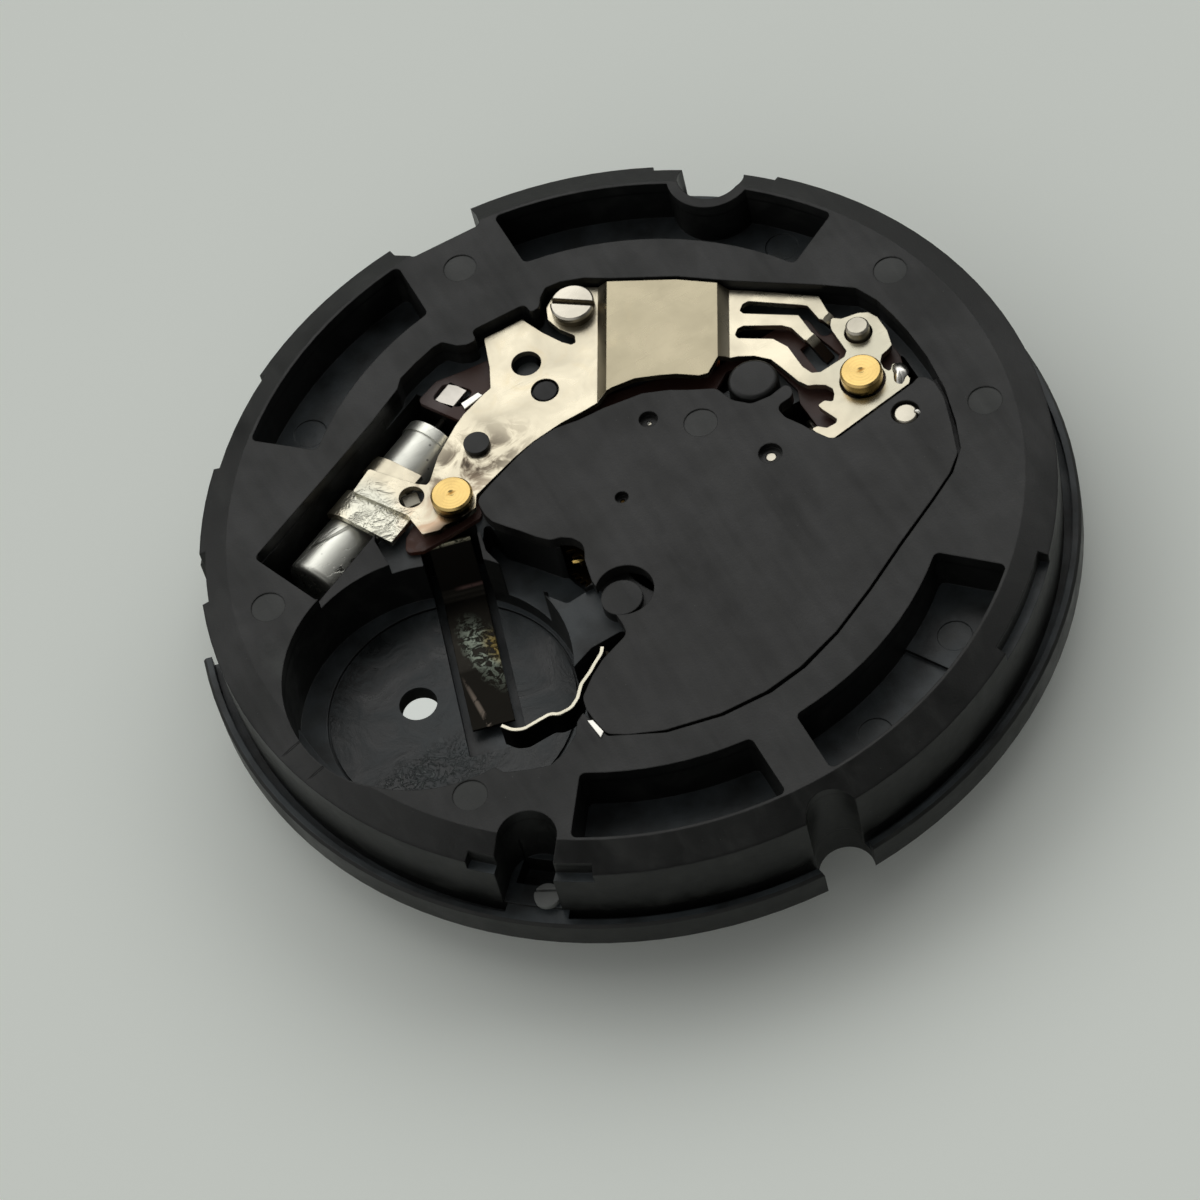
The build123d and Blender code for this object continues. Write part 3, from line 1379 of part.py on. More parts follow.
def setting_lever():
    """Lever that the stem moves. It turns on its pin."""
    top = lever_height + lever_thickness
    place = spot(lever_pin_share)
    body = disc(place, lever_eye_radius, lever_height, top)
    body += bent_bar(lever_arm_shares, lever_arm_width, lever_height, top)
    body += bent_bar(lever_tail_shares, lever_arm_width, lever_height, top)
    body += disc(spot(lever_arm_shares[0]), lever_stub_radius, lever_height - lever_stub_drop, top)
    return body - disc(place, lever_pin_radius - pin_edge + running_clearance, 0, movement_height)


def setting_lever_pin():
    """Pin that the lever turns on. Pressing its top lets the stem out."""
    place = spot(lever_pin_share)
    neck = lever_pin_radius - pin_edge
    head = disc(place, lever_pin_radius, lever_height + lever_thickness + seat_gap, lever_pin_top)
    head = chamfer(head.edges().filter_by(GeomType.CIRCLE).sort_by(Axis.Z)[-1], pin_edge)
    collar = disc(place, neck, lever_height - seat_gap, lever_height + lever_thickness + seat_gap)
    flange = disc(place, lever_eye_radius, lever_height - lever_thickness, lever_height - seat_gap)
    foot_bottom = train_floor - lever_press_travel / 2
    foot = disc(place, lever_pin_foot_radius, foot_bottom, lever_height - lever_thickness)
    return head + collar + flange + foot


def yoke():
    """Fork lever that slides the clutch."""
    top = yoke_height + yoke_thickness
    place = spot(yoke_stud_share)
    body = disc(place, yoke_eye_radius, yoke_height, top)
    body += bent_bar(yoke_arm_shares, yoke_arm_width, yoke_height, top)
    tip_x = clutch_start + clutch_length / 2
    tip_start = (tip_x, core_radius * yoke_arm_shares[-1][1])
    tip_end = (tip_x, -clutch_groove_radius - yoke_tip_width)
    body += bar(tip_start, tip_end, yoke_tip_width, yoke_height, top)
    body += bent_bar(yoke_tail_shares, yoke_arm_width, yoke_height, top)
    return body - disc(place, yoke_stud_radius + running_clearance, 0, movement_height)


def yoke_stud():
    return disc(spot(yoke_stud_share), yoke_stud_radius, train_floor - stud_press_depth,
                yoke_height + yoke_thickness + yoke_stud_rise)


# Contacts

def minus_contact():
    """Leaf that comes down the bay's far wall and rises under the battery."""
    crown_share = 0.62
    profile = [
        (-leaf_root_lean, leaf_root_top), (0, leaf_bend_height), (leaf_foot_run, leaf_root_height),
        (leaf_length * crown_share, leaf_crown), (leaf_length, leaf_root_height),
    ]
    path = FilletPolyline(*[(x, 0, z) for x, z in profile],
                          radius=[3 * leaf_thickness, 3 * leaf_thickness, 4 * leaf_thickness])
    start = Plane(origin=path @ 0, z_dir=path % 0, x_dir=(0, 1, 0))
    body = sweep(start * Rectangle(leaf_width, leaf_thickness), path=path)
    return leaf_frame() * body


def plus_contact():
    """Strip on edge, bent so that it presses on the battery's side."""
    points = [spot(share) for share in strip_shares]
    radii = [
        corner_radius(points[index - 1], points[index], points[index + 1], 4 * strip_thickness)
        for index in range(1, len(points) - 1)
    ]
    path = FilletPolyline(*points, radius=radii)
    start = Plane(origin=path @ 0, z_dir=path % 0, x_dir=(0, 0, 1))
    body = sweep(start * Rectangle(strip_height, strip_thickness), path=path)
    anchor = disc(points[-1], strip_anchor_radius, -strip_height / 2, strip_height / 2 - strip_anchor_drop)
    return Pos(0, 0, strip_top - strip_height / 2) * (body + anchor)


nodes = {
    "main_plate": main_plate,
    "dial_rest_ring": dial_rest_ring,
    "train_bridge": train_bridge,
    "battery_insulator": battery_insulator,
    "rim_peg": rim_peg,
    "cover_plate": cover_plate,
    "cover_screw": cover_screw,
    "brass_pins": brass_pins,
    "plate_post": plate_post,
    "crystal_can": crystal_can,
    "crystal_leads": crystal_leads,
    "circuit_board": circuit_board,
    "ic_block": ic_block,
    "chip_capacitor": chip_capacitor,
    "coil_core": coil_core,
    "coil_winding": coil_winding,
    "stator": stator,
    "rotor_magnet": rotor_magnet,
    "rotor_arbor": rotor_arbor,
    "fifth_wheel": fifth_wheel,
    "seconds_wheel": seconds_wheel,
    "third_wheel": third_wheel,
    "centre_wheel": centre_wheel,
    "cannon_pinion": cannon_pinion,
    "minute_wheel": minute_wheel,
    "minute_wheel_stud": minute_wheel_stud,
    "hour_wheel": hour_wheel,
    "motion_cover": motion_cover,
    "motion_cover_screws": motion_cover_screws,
    "setting_wheel": setting_wheel,
    "clutch_wheel": clutch_wheel,
    "setting_lever": setting_lever,
    "setting_lever_pin": setting_lever_pin,
    "yoke": yoke,
    "yoke_stud": yoke_stud,
    "minus_contact": minus_contact,
    "plus_contact": plus_contact,
}

os.makedirs("parts", exist_ok=True)
for name, make in nodes.items():
    export_step(make(), "parts/" + name + ".step")
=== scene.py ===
import json
from math import cos, radians, sin, tau

import bpy
from mathutils import Matrix, Vector


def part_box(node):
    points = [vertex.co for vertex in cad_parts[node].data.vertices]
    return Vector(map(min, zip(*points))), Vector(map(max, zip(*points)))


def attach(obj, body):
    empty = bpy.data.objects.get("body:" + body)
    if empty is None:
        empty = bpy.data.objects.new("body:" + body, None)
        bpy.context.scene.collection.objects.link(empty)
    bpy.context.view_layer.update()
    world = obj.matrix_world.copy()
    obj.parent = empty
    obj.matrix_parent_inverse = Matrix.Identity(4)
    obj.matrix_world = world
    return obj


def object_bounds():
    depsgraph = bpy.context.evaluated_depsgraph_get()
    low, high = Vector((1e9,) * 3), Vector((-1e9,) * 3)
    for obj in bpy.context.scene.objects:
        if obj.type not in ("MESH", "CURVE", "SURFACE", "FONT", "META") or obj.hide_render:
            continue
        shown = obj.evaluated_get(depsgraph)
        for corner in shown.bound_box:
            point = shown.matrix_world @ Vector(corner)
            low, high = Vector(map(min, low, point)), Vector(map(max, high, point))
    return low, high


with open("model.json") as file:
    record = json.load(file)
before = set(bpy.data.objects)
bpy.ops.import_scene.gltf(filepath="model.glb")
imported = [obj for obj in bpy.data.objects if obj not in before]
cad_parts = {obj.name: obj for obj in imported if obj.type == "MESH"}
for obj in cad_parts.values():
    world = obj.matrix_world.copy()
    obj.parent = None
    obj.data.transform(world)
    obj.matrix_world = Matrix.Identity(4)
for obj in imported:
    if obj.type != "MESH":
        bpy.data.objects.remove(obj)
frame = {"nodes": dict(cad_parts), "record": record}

# Sizes and places below are in millimetres, and Blender's are in metres
MM = 0.001
CAD_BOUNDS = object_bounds()
RECORD = frame["record"]


def top_of(node):
    """Height of a node's top in the frame, in millimetres."""
    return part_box(node)[1].z / MM


# Heights from the frame, in millimetres
FACE_TOP = top_of("main_plate")
PLATE_TOP = top_of("cover_plate")
BRIDGE_TOP = top_of("train_bridge")
BOARD_TOP = top_of("circuit_board")
CAN_TOP = top_of("crystal_can")
STRIP_TOP = top_of("plus_contact")
PIN_TOP = top_of("brass_pins")
SCREW_TOP = top_of("cover_screw")
ARBOR_TOP = top_of("rotor_arbor")
LOWEST = CAD_BOUNDS[0][2] / MM

# Camera fitted to the photograph: angles in degrees, its distance along the view from the seconds
# axis at the face, in millimetres, and that point's place in pixels of the square frame
CAMERA_TURN = 13.6
CAMERA_ELEVATION = 53.95
CAMERA_ROLL = -16.02
CAMERA_DISTANCE = 143.86
IMAGE_SIZE = 1200
AXIS_PIXEL = (621.4, 496.0)
FOCAL_PIXELS = 5009.7
SENSOR_WIDTH = 36.0
CLIP_RATIO = 50

# Light of the room, by the way seen. A band of rise starts, is full, starts to fade and ends.
# Each wall has a heading in plan, how far it is faced where its light starts and is full, a band
# and a strength. The rest is a patch straight above and an even dim light.
HIGH_BAND = (0.25, 0.6, 0.8, 0.97)
LOW_BAND = (0.0, 0.3, 0.6, 0.95)
BACK_WALL = ((0.2, 1.0), (-0.1, 0.9), HIGH_BAND, 1.6)
LEFT_SIDE = ((-1.0, -0.3), (0.0, 0.9), LOW_BAND, 0.55)
RIGHT_SIDE = ((1.0, 0.0), (0.1, 0.9), LOW_BAND, 0.16)
TOP_PATCH = (0.94, 0.99)
TOP_LIGHT = 0.3
ROOM_LIGHT = 0.02
ROOM_COLOUR = (1.0, 1.0, 0.985, 1)

# Rise of a normal where a face starts to look up, and where it fully does
LOOKS_UP = (0.85, 0.95)
BEVEL_SAMPLES = 4


def srgb(*levels):
    """Linear colour of sRGB levels from 0 to 255."""
    shares = [level / 255 for level in levels]
    return [s / 12.92 if s <= 0.04045 else ((s + 0.055) / 1.055) ** 2.4 for s in shares]


def brighter(colour, factor):
    return [level * factor for level in colour]


class Nodes:
    """Node tree built with few words."""

    def __init__(self, tree):
        self.tree = tree

    def node(self, kind, inputs, out=0, **settings):
        made = self.tree.nodes.new("ShaderNode" + kind)
        for key, value in settings.items():
            setattr(made, key, value)
        for key, value in inputs.items():
            if isinstance(value, bpy.types.NodeSocket):
                self.tree.links.new(value, made.inputs[key])
            else:
                made.inputs[key].default_value = value
        return made.outputs[out]

    def ramp(self, value, low, high, start=0.0, end=1.0):
        return self.node("MapRange", {"Value": value, "From Min": low, "From Max": high,
                                      "To Min": start, "To Max": end}, clamp=True)

    def soft_ramp(self, value, low, high):
        return self.node("MapRange", {"Value": value, "From Min": low, "From Max": high},
                         interpolation_type="SMOOTHSTEP")

    def math(self, kind, first, second=0.0):
        return self.node("Math", {0: first, 1: second}, operation=kind)

    def times(self, *values):
        product = values[0]
        for value in values[1:]:
            product = self.math("MULTIPLY", product, value)
        return product

    def plus(self, *values):
        total = values[0]
        for value in values[1:]:
            total = self.math("ADD", total, value)
        return total

    def mix(self, share, first, second):
        colours = [(*c, 1) if isinstance(c, (list, tuple)) else c for c in (first, second)]
        return self.node("Mix", {0: share, 6: colours[0], 7: colours[1]}, out=2, data_type="RGBA")


class Shade(Nodes):
    """Material with a worn, procedural surface. Sizes, places and heights are in millimetres."""

    def __init__(self, name, colour, roughness, metallic=0.0, specular=0.5, edge=0.0):
        self.material = bpy.data.materials.new(name)
        self.material.use_nodes = True
        super().__init__(self.material.node_tree)
        self.surface = self.tree.nodes["Principled BSDF"]
        self.surface.inputs["Base Color"].default_value = (*colour, 1)
        self.surface.inputs["Roughness"].default_value = roughness
        self.surface.inputs["Metallic"].default_value = metallic
        self.surface.inputs["Specular IOR Level"].default_value = specular
        self.place = self.tree.nodes.new("ShaderNodeTexCoord").outputs["Object"]
        self.tone = self.mix(0.0, colour, colour)
        self.relief = None
        if edge:
            self.relief = self.node("Bevel", {"Radius": edge * MM}, samples=BEVEL_SAMPLES)

    def noise(self, size, detail, rough=0.55, place=None, twist=0.0):
        """Soft noise whose features are about one size across."""
        return self.node("TexNoise", {"Vector": place or self.place, "Scale": 1 / (size * MM),
                                      "Detail": detail, "Roughness": rough, "Distortion": twist})

    def spots(self, spacing):
        """Distance to random points, in shares of the spacing that they lie apart."""
        return self.node("TexVoronoi", {"Vector": self.place, "Scale": 1 / (spacing * MM)})

    def stretched(self, across, along, turn):
        """Object coordinates scaled apart in plan, after a turn in degrees."""
        return self.node("Mapping", {"Vector": self.place, "Rotation": (0, 0, radians(turn)),
                                     "Scale": (across, along, 1)})

    def gap(self, spot, widths=(1, 1), turn=0.0):
        """Distance from a plan place, in widths along a turned pair of axes."""
        moved = self.node("Mapping", {"Vector": self.place, "Location": (-spot[0] * MM, -spot[1] * MM, 0)})
        scale = (1 / (widths[0] * MM), 1 / (widths[1] * MM), 0)
        turned = self.node("Mapping", {"Vector": moved, "Rotation": (0, 0, radians(-turn)), "Scale": scale})
        return self.node("VectorMath", {0: turned}, out=1, operation="LENGTH")

    def near(self, spot, radius, soft, turn=0.0):
        """1 inside a round or oval patch of the plan, and 0 outside."""
        widths = radius if isinstance(radius, tuple) else (radius, radius)
        return self.ramp(self.gap(spot, widths, turn), 1 - soft, 1 + soft, 1.0, 0.0)

    def broken(self, patch, noise, low, high):
        """A patch of the plan that shows only where a noise is high."""
        return self.times(self.near(*patch), self.ramp(noise, low, high))

    def upward(self):
        """1 on what looks up, and 0 on walls."""
        normal = self.tree.nodes.new("ShaderNodeTexCoord").outputs["Normal"]
        return self.ramp(self.node("SeparateXYZ", {0: normal}, out=2), *LOOKS_UP)

    def height(self, low, high):
        """0 at the first height and 1 at the second."""
        z = self.node("SeparateXYZ", {0: self.place}, out=2)
        return self.ramp(z, low * MM, high * MM)

    def band(self, low, full_from, full_to, high):
        """1 between the inner two heights, fading to 0 at the outer two."""
        return self.times(self.height(high, full_to), self.height(low, full_from))

    def stain(self, share, colour, strength=1.0):
        self.tone = self.mix(self.times(share, strength), self.tone, colour)
        self.tree.links.new(self.tone, self.surface.inputs["Base Color"])

    def rough(self, socket):
        self.tree.links.new(socket, self.surface.inputs["Roughness"])

    def bump(self, socket, depth, strength=1.0):
        """Adds a relief by its full depth."""
        inputs = {"Height": socket, "Distance": depth * MM, "Strength": strength}
        if self.relief is not None:
            inputs["Normal"] = self.relief
        self.relief = self.node("Bump", inputs)
        self.tree.links.new(self.relief, self.surface.inputs["Normal"])


# Moulded plastic: sizes, depths and the spacing of dust specks in millimetres. A stretch has its
# scales across and along, and its heading.
PLASTIC_EDGE = 0.05
FLOW_SIZE = 2.2
FLOW_DEPTH = 0.03
SMEAR_SIZE = 0.8
SMEAR_STRETCH = (1, 0.35, 25)
GRAIN_SIZE = 0.06
GRAIN_DEPTH = 0.0035
STREAK_SIZE = 0.4
STREAK_STRETCH = (1, 0.06, 35)
STREAK_DEPTH = 0.0015
SPECK_SPACING = 0.3
DUSTINESS = 0.35
SMEAR_STRENGTH = 0.12 * DUSTINESS


def plastic(name, colour, dusty, roughness=0.42, specular=0.42):
    """Moulded plastic with a fine grain, faint flow marks, scratches and a little dust."""
    shade = Shade(name, colour, roughness, specular=specular, edge=PLASTIC_EDGE)
    flow = shade.noise(FLOW_SIZE, 5)
    smear = shade.noise(SMEAR_SIZE, 5, place=shade.stretched(*SMEAR_STRETCH), twist=0.6)
    streak = shade.noise(STREAK_SIZE, 4, place=shade.stretched(*STREAK_STRETCH))
    shade.stain(shade.ramp(flow, 0.38, 0.68), brighter(colour, 1.5))
    shade.stain(shade.ramp(smear, 0.5, 0.75), dusty, SMEAR_STRENGTH)
    specks = shade.ramp(shade.spots(SPECK_SPACING), 0.05, 0.02)
    shade.stain(shade.times(specks, shade.ramp(flow, 0.45, 0.62)), dusty, DUSTINESS)
    wear = shade.plus(flow, shade.times(streak, 0.4), shade.times(smear, 0.5))
    shade.rough(shade.ramp(wear, 0.75, 1.15, roughness - 0.09, roughness + 0.14))
    shade.bump(flow, FLOW_DEPTH, 0.6)
    shade.bump(shade.noise(GRAIN_SIZE, 3), GRAIN_DEPTH)
    shade.bump(shade.ramp(streak, 0.62, 0.7), STREAK_DEPTH, 0.5)
    return shade


# Sheet metal: sizes and depths in millimetres. The grain and the scratches are scaled across and
# along, and the scratches lie turned from the grain.
METAL_EDGE = 0.03
CLOUD_SIZE = 1.4
CLOUD_DEPTH = 0.012
ROLLED_SIZE = 0.05
ROLLED_STRETCH = (1, 0.04)
ROLLED_DEPTH = 0.0012
SCRATCH_SIZE = 0.12
SCRATCH_STRETCH = (0.07, 1)
SCRATCH_TURN = 25
SCRATCH_DEPTH = 0.0015
DULL_SPACING = 0.35


def metal(name, colour, roughness, grain_turn=0.0, dull=None, edge=METAL_EDGE):
    """Sheet metal with a rolled grain along one heading, light scratches and dull patches."""
    shade = Shade(name, colour, roughness, metallic=1.0, edge=edge)
    cloud = shade.noise(CLOUD_SIZE, 5, twist=0.4)
    rolled = shade.noise(ROLLED_SIZE, 3, place=shade.stretched(*ROLLED_STRETCH, grain_turn))
    scratch_place = shade.stretched(*SCRATCH_STRETCH, grain_turn + SCRATCH_TURN)
    scratch = shade.noise(SCRATCH_SIZE, 4, place=scratch_place)
    shade.stain(shade.ramp(cloud, 0.4, 0.72), brighter(colour, 0.84))
    shade.stain(shade.ramp(scratch, 0.66, 0.72), brighter(colour, 0.6), 0.3)
    if dull:
        spots = shade.ramp(shade.spots(DULL_SPACING), 0.14, 0.05)
        shade.stain(shade.times(spots, shade.ramp(cloud, 0.48, 0.6)), dull, 0.7)
    shade.rough(shade.ramp(cloud, 0.3, 0.7, roughness - 0.06, roughness + 0.1))
    shade.bump(cloud, CLOUD_DEPTH, 0.7)
    shade.bump(rolled, ROLLED_DEPTH)
    shade.bump(shade.ramp(scratch, 0.62, 0.72), SCRATCH_DEPTH, 0.6)
    return shade


# From here on a patch of a material has its place in plan, its radius or radii, its softness and,
# where it is turned, its heading.

# Body plastic: the moulding's round marks are paler than the face and the bay's rim is rubbed. The
# low floors carry a painted sheen: paler colour on faces that look up, broken up by noise.
BLACK = srgb(20, 21, 20)
DUST = srgb(150, 152, 146)
RUBBED = srgb(70, 73, 70)
# Near black for painted shade and for the scribe marks
SHADE_AND_SCRIBE_BLACK = srgb(5, 5, 5)
MARK_RADIUS = 0.5
FACE_MARKS = [(10.41, 2.9), (10.41, -2.82), (-0.3, 10.24), (-10.4, 2.18), (-8.2, -6.8)]
POCKET_MARKS = [(-6.53, 8.43), (2.65, -10.12), (8.57, 6.73), (6.08, -8.53)]
LOW_FLOORS = (FACE_TOP - 0.5, FACE_TOP - 0.7)
FLOOR_SHEEN_SIZE = 1.5
BAY_RIM = ((-10.9, 0.2), (0.5, 1.5), 0.8, 8)
RIM_WEAR_SIZE = 0.6
BEVEL_SHADOW_LINE = (FACE_TOP - 0.48, FACE_TOP - 0.44, FACE_TOP - 0.4, FACE_TOP - 0.36)
SLIT_SHADE = ((-4.45, -6.7), (0.09, 0.55), 0.3, -14)
SCRIBES = [((-11.8, -2.48), 20), ((-11.5, -3.6), 31)]
SCRIBE_RADII = (0.28, 0.03)
SCRIBE_DEPTH = 0.02


def body_plastic():
    shade = plastic("body plastic", BLACK, DUST, specular=0.38)
    for spot in FACE_MARKS + POCKET_MARKS:
        shade.stain(shade.near(spot, MARK_RADIUS, 0.06), RUBBED, 0.35)
    # Painted sheen: low floors that look up are painted paler, in noisy patches
    floors = shade.times(shade.upward(), shade.height(*LOW_FLOORS))
    dust = shade.ramp(shade.noise(FLOOR_SHEEN_SIZE, 5), 0.3, 0.6)
    shade.stain(shade.times(floors, dust), srgb(62, 68, 71))
    worn = shade.times(shade.near(*BAY_RIM), shade.noise(RIM_WEAR_SIZE, 5))
    shade.stain(shade.ramp(worn, 0.3, 0.6), RUBBED, 0.5)
    # Painted shadow: a dark band round the body at the height where the rim's bevel meets the wall
    shade.stain(shade.band(*BEVEL_SHADOW_LINE), SHADE_AND_SCRIBE_BLACK)
    # Painted shade: a dark slit on the flat face where a shaded recess would be
    shade.stain(shade.near(*SLIT_SHADE), SHADE_AND_SCRIBE_BLACK)
    for spot, heading in SCRIBES:
        line = shade.near(spot, SCRIBE_RADII, 0.4, heading)
        shade.stain(line, SHADE_AND_SCRIBE_BLACK, 0.8)
        shade.bump(line, -SCRIBE_DEPTH)
    return shade


BRIDGE_MARK = ((3.15, 1.1), MARK_RADIUS, 0.08)


def bridge_plastic():
    shade = plastic("bridge plastic", srgb(22, 22, 21), DUST, 0.43, 0.39)
    shade.stain(shade.near(*BRIDGE_MARK), RUBBED, 0.25)
    return shade


# Film on the bay's floor
FILM_SIZE = 1.6
FILM_DEPTH = 0.05
CRUST_SIZE = 0.35
CRUST_DEPTH = 0.012
CRACK_SIZE = 1.2
SALT = ((-8.4, -3.9), (1.5, 0.7), 0.7, -35)
SALT_DEPTH = 0.02
DARK_SMEAR = ((-9.3, 0.4), (1.1, 0.7), 0.7, -35)


def insulator_film():
    """Film on the bay's floor, smeared by the old cell."""
    shade = Shade("insulator film", srgb(28, 32, 33), 0.34, specular=0.38)
    cloud = shade.noise(FILM_SIZE, 6, twist=1.4)
    crust = shade.noise(CRUST_SIZE, 6, 0.7, twist=2.0)
    shade.stain(shade.ramp(cloud, 0.42, 0.62), srgb(50, 56, 58))
    salt = shade.broken(SALT, crust, 0.5, 0.62)
    shade.stain(salt, srgb(104, 110, 108), 0.5)
    crack = shade.times(shade.ramp(crust, 0.5, 0.52), shade.ramp(crust, 0.56, 0.54))
    marks = shade.times(crack, shade.ramp(shade.noise(CRACK_SIZE, 3), 0.48, 0.56))
    shade.stain(marks, srgb(14, 16, 17), 0.55)
    shade.stain(shade.broken(DARK_SMEAR, crust, 0.42, 0.55), srgb(16, 17, 17), 0.8)
    shade.rough(shade.ramp(cloud, 0.35, 0.65, 0.22, 0.5))
    shade.bump(salt, SALT_DEPTH, 0.7)
    shade.bump(cloud, FILM_DEPTH, 0.8)
    shade.bump(crust, CRUST_DEPTH, 0.6)
    return shade


# Steel plate: stains round the black stake and by the clamp, and painted reflections on the roof
# and at the bend by the post
PLATE_GRAIN = -27
SMOKE_SIZE = 0.9
SOOT = ((-3.1, 3.8), (1.5, 1.0), 0.6, 20)
SOOT_CORE = ((-3.2, 3.75), (1.1, 0.6), 0.6, 20)
TAN = ((-4.9, 2.6), (1.3, 0.8), 0.8, 20)
RIGHT_END = ((8.4, 0.6), (1.4, 2.4), 0.5)
CLAMP_FLAP = ((-6.4, 3.7), (0.75, 1.3), 0.3, 30)
ROOF = (PLATE_TOP - 0.25, PLATE_TOP - 0.05)
ROOF_HAZE = ((0.2, 6.0), (2.2, 1.2), 0.6, 10)
POST_BEND = ((8.5, 2.4), (1.5, 1.6), 0.1)
POST_BEND_FALL = (PLATE_TOP - 0.37, PLATE_TOP - 0.47)
CLAMP_CRUST = ((-4.3, 2.05), (1.0, 0.28), 0.5)
CRUMPLED = ((-6.4, 3.7), (0.9, 1.2), 0.5, 30)
CRUMPLE_SIZE = 0.5
CRUMPLE_DEPTH = 0.12


def plate_steel():
    """Nickel-plated sheet: stained round the black stake, brown by the clamp, and painted darker on the
    roof and at the bend by the post as painted reflections.
    """
    shade = metal("plate steel", srgb(216, 207, 184), 0.27, PLATE_GRAIN)
    smoke = shade.noise(SMOKE_SIZE, 6, twist=1.6)
    shade.stain(shade.broken(SOOT, smoke, 0.4, 0.52), srgb(104, 92, 78), 0.9)
    shade.stain(shade.broken(SOOT_CORE, smoke, 0.5, 0.56), srgb(48, 42, 36), 0.8)
    shade.stain(shade.broken(TAN, smoke, 0.4, 0.62), srgb(176, 140, 112), 0.75)
    shade.stain(shade.near(*RIGHT_END), srgb(184, 180, 162), 0.9)
    shade.stain(shade.near(*CLAMP_FLAP), srgb(214, 215, 202), 0.7)
    # Painted reflection: the raised roof painted darker
    shade.stain(shade.height(*ROOF), srgb(168, 159, 135))
    shade.stain(shade.broken(ROOF_HAZE, smoke, 0.5, 0.7), srgb(205, 188, 152), 0.4)
    # Painted reflection: the plate's low part at the bend by the post is painted dark brown
    shade.stain(shade.times(shade.height(*POST_BEND_FALL), shade.near(*POST_BEND)), srgb(58, 48, 40))
    shade.stain(shade.broken(CLAMP_CRUST, smoke, 0.42, 0.5), srgb(40, 34, 24))
    crumple = shade.times(shade.noise(CRUMPLE_SIZE, 3, twist=1.5), shade.near(*CRUMPLED))
    shade.bump(crumple, CRUMPLE_DEPTH)
    return shade


# Brass pins: their marks are placed in plan. The tool marks are waves of so many radians to the
# millimetre, and end at the head's edge.
PIN_PLACES = [(-4.15, 2.85), (7.9, 0.05)]
PIN_GRAIN = 15
PIN_EDGE = 0.02
TOOL_MARK_RATE = 60.0
TOOL_MARK_ENDS = (0.62, 0.6)
TOOL_MARK_DEPTH = 0.001
SCUFF_RADII = (0.12, 0.04)
SCUFF_HEADING = 40
CENTRE_RADIUS = 0.07
CENTRE_DEPTH = 0.02
PIN_SIDES = (PIN_TOP - 0.25, PIN_TOP - 0.33)
PIN_SIDE_SHADE_SIZE = 0.4


def pin_brass():
    """Turned brass with a centre mark, round tool marks, scratches and painted shade low on the heads."""
    shade = metal("pin brass", srgb(220, 188, 120), 0.25, PIN_GRAIN, edge=PIN_EDGE)
    for spot in PIN_PLACES:
        gap = shade.gap(spot)
        rings = shade.math("SINE", shade.times(gap, TOOL_MARK_RATE))
        shade.bump(shade.times(rings, shade.ramp(gap, *TOOL_MARK_ENDS)), TOOL_MARK_DEPTH, 0.5)
        shade.stain(shade.near(spot, SCUFF_RADII, 0.5, SCUFF_HEADING), srgb(150, 105, 40), 0.85)
        shade.bump(shade.near(spot, CENTRE_RADIUS, 0.6), -CENTRE_DEPTH)
    # Painted shade: the heads' sides darker towards the bottom, in noisy patches
    patches = shade.ramp(shade.noise(PIN_SIDE_SHADE_SIZE, 5), 0.3, 0.5)
    shade.stain(shade.times(shade.height(*PIN_SIDES), patches), srgb(58, 48, 22))
    return shade


WHEEL_GRAIN = 15


def shade_dark_train_brass():
    """Brass of the hidden wheels, painted dark brown and dull: painted shade where they lie inside."""
    return metal("shade-dark train brass", srgb(84, 66, 36), 0.4, WHEEL_GRAIN, srgb(40, 30, 18))


# Crystal's can: its streaks run along it
CAN_HEADING = 27
CAN_STREAK_SIZE = 0.25
CAN_STRETCH = (0.12, 1)
CAN_WEAR = ((-8.2, 3.4), (1.6, 0.9), 0.4, CAN_HEADING)
CAN_WEAR_DEPTH = 0.02


def can_metal():
    """Drawn can of the crystal, with dark worn streaks along it."""
    shade = metal("can metal", srgb(250, 250, 240), 0.38, CAN_HEADING, srgb(70, 70, 66))
    streak = shade.noise(CAN_STREAK_SIZE, 5, 0.6, shade.stretched(*CAN_STRETCH, CAN_HEADING), 0.4)
    worn = shade.broken(CAN_WEAR, streak, 0.56, 0.64)
    shade.stain(worn, srgb(84, 82, 74), 0.85)
    shade.stain(shade.ramp(streak, 0.5, 0.72), srgb(160, 160, 150), 0.25)
    shade.bump(worn, -CAN_WEAR_DEPTH)
    return shade


SCREW_GRAIN = 50
SCREW_LOW = (SCREW_TOP - 0.13, SCREW_TOP - 0.19)


def screw_steel():
    """Polished screw, painted dark in its slot and low on its head: painted shade."""
    shade = metal("screw steel", srgb(204, 198, 184), 0.24, SCREW_GRAIN)
    # Painted shade below a height just under the head's top
    shade.stain(shade.height(*SCREW_LOW), srgb(90, 84, 72))
    return shade


# Heights of the strip's painted highlight along its top edge
STRIP_EDGE = (STRIP_TOP - 0.06, STRIP_TOP - 0.02)


def strip_metal():
    """Contact strip painted dark as a painted reflection of the dark bay, with a painted highlight along
    its top edge.
    """
    # Painted reflection: the whole strip is dark like the bay it mirrors
    shade = metal("strip metal", srgb(34, 30, 24), 0.45)
    shade.stain(shade.height(*STRIP_EDGE), srgb(238, 232, 212))
    return shade


# Contact leaf: its patches in plan, and the heights of its bend and of its top edge
LEAF_GRAIN = -15
CHIP_SIZE = 0.3
SILVER = ((-5.4, -1.0), (0.5, 1.3), 0.3, -16)
SILVER_DEPTH = 0.02
GOLD = ((-5.05, -1.1), (0.28, 0.6), 0.5, -16)
LEAF_EDGE = ((-6.38, -2.9), (0.07, 1.0), 0.4, -14)
LEAF_BEND = ((-4.65, 1.4), (0.45, 1.2), 0.3)
LEAF_BEND_BAND = (0.84, 0.88, 0.93, 0.98)
LEAF_TOP_EDGE = (2.16, 2.22)


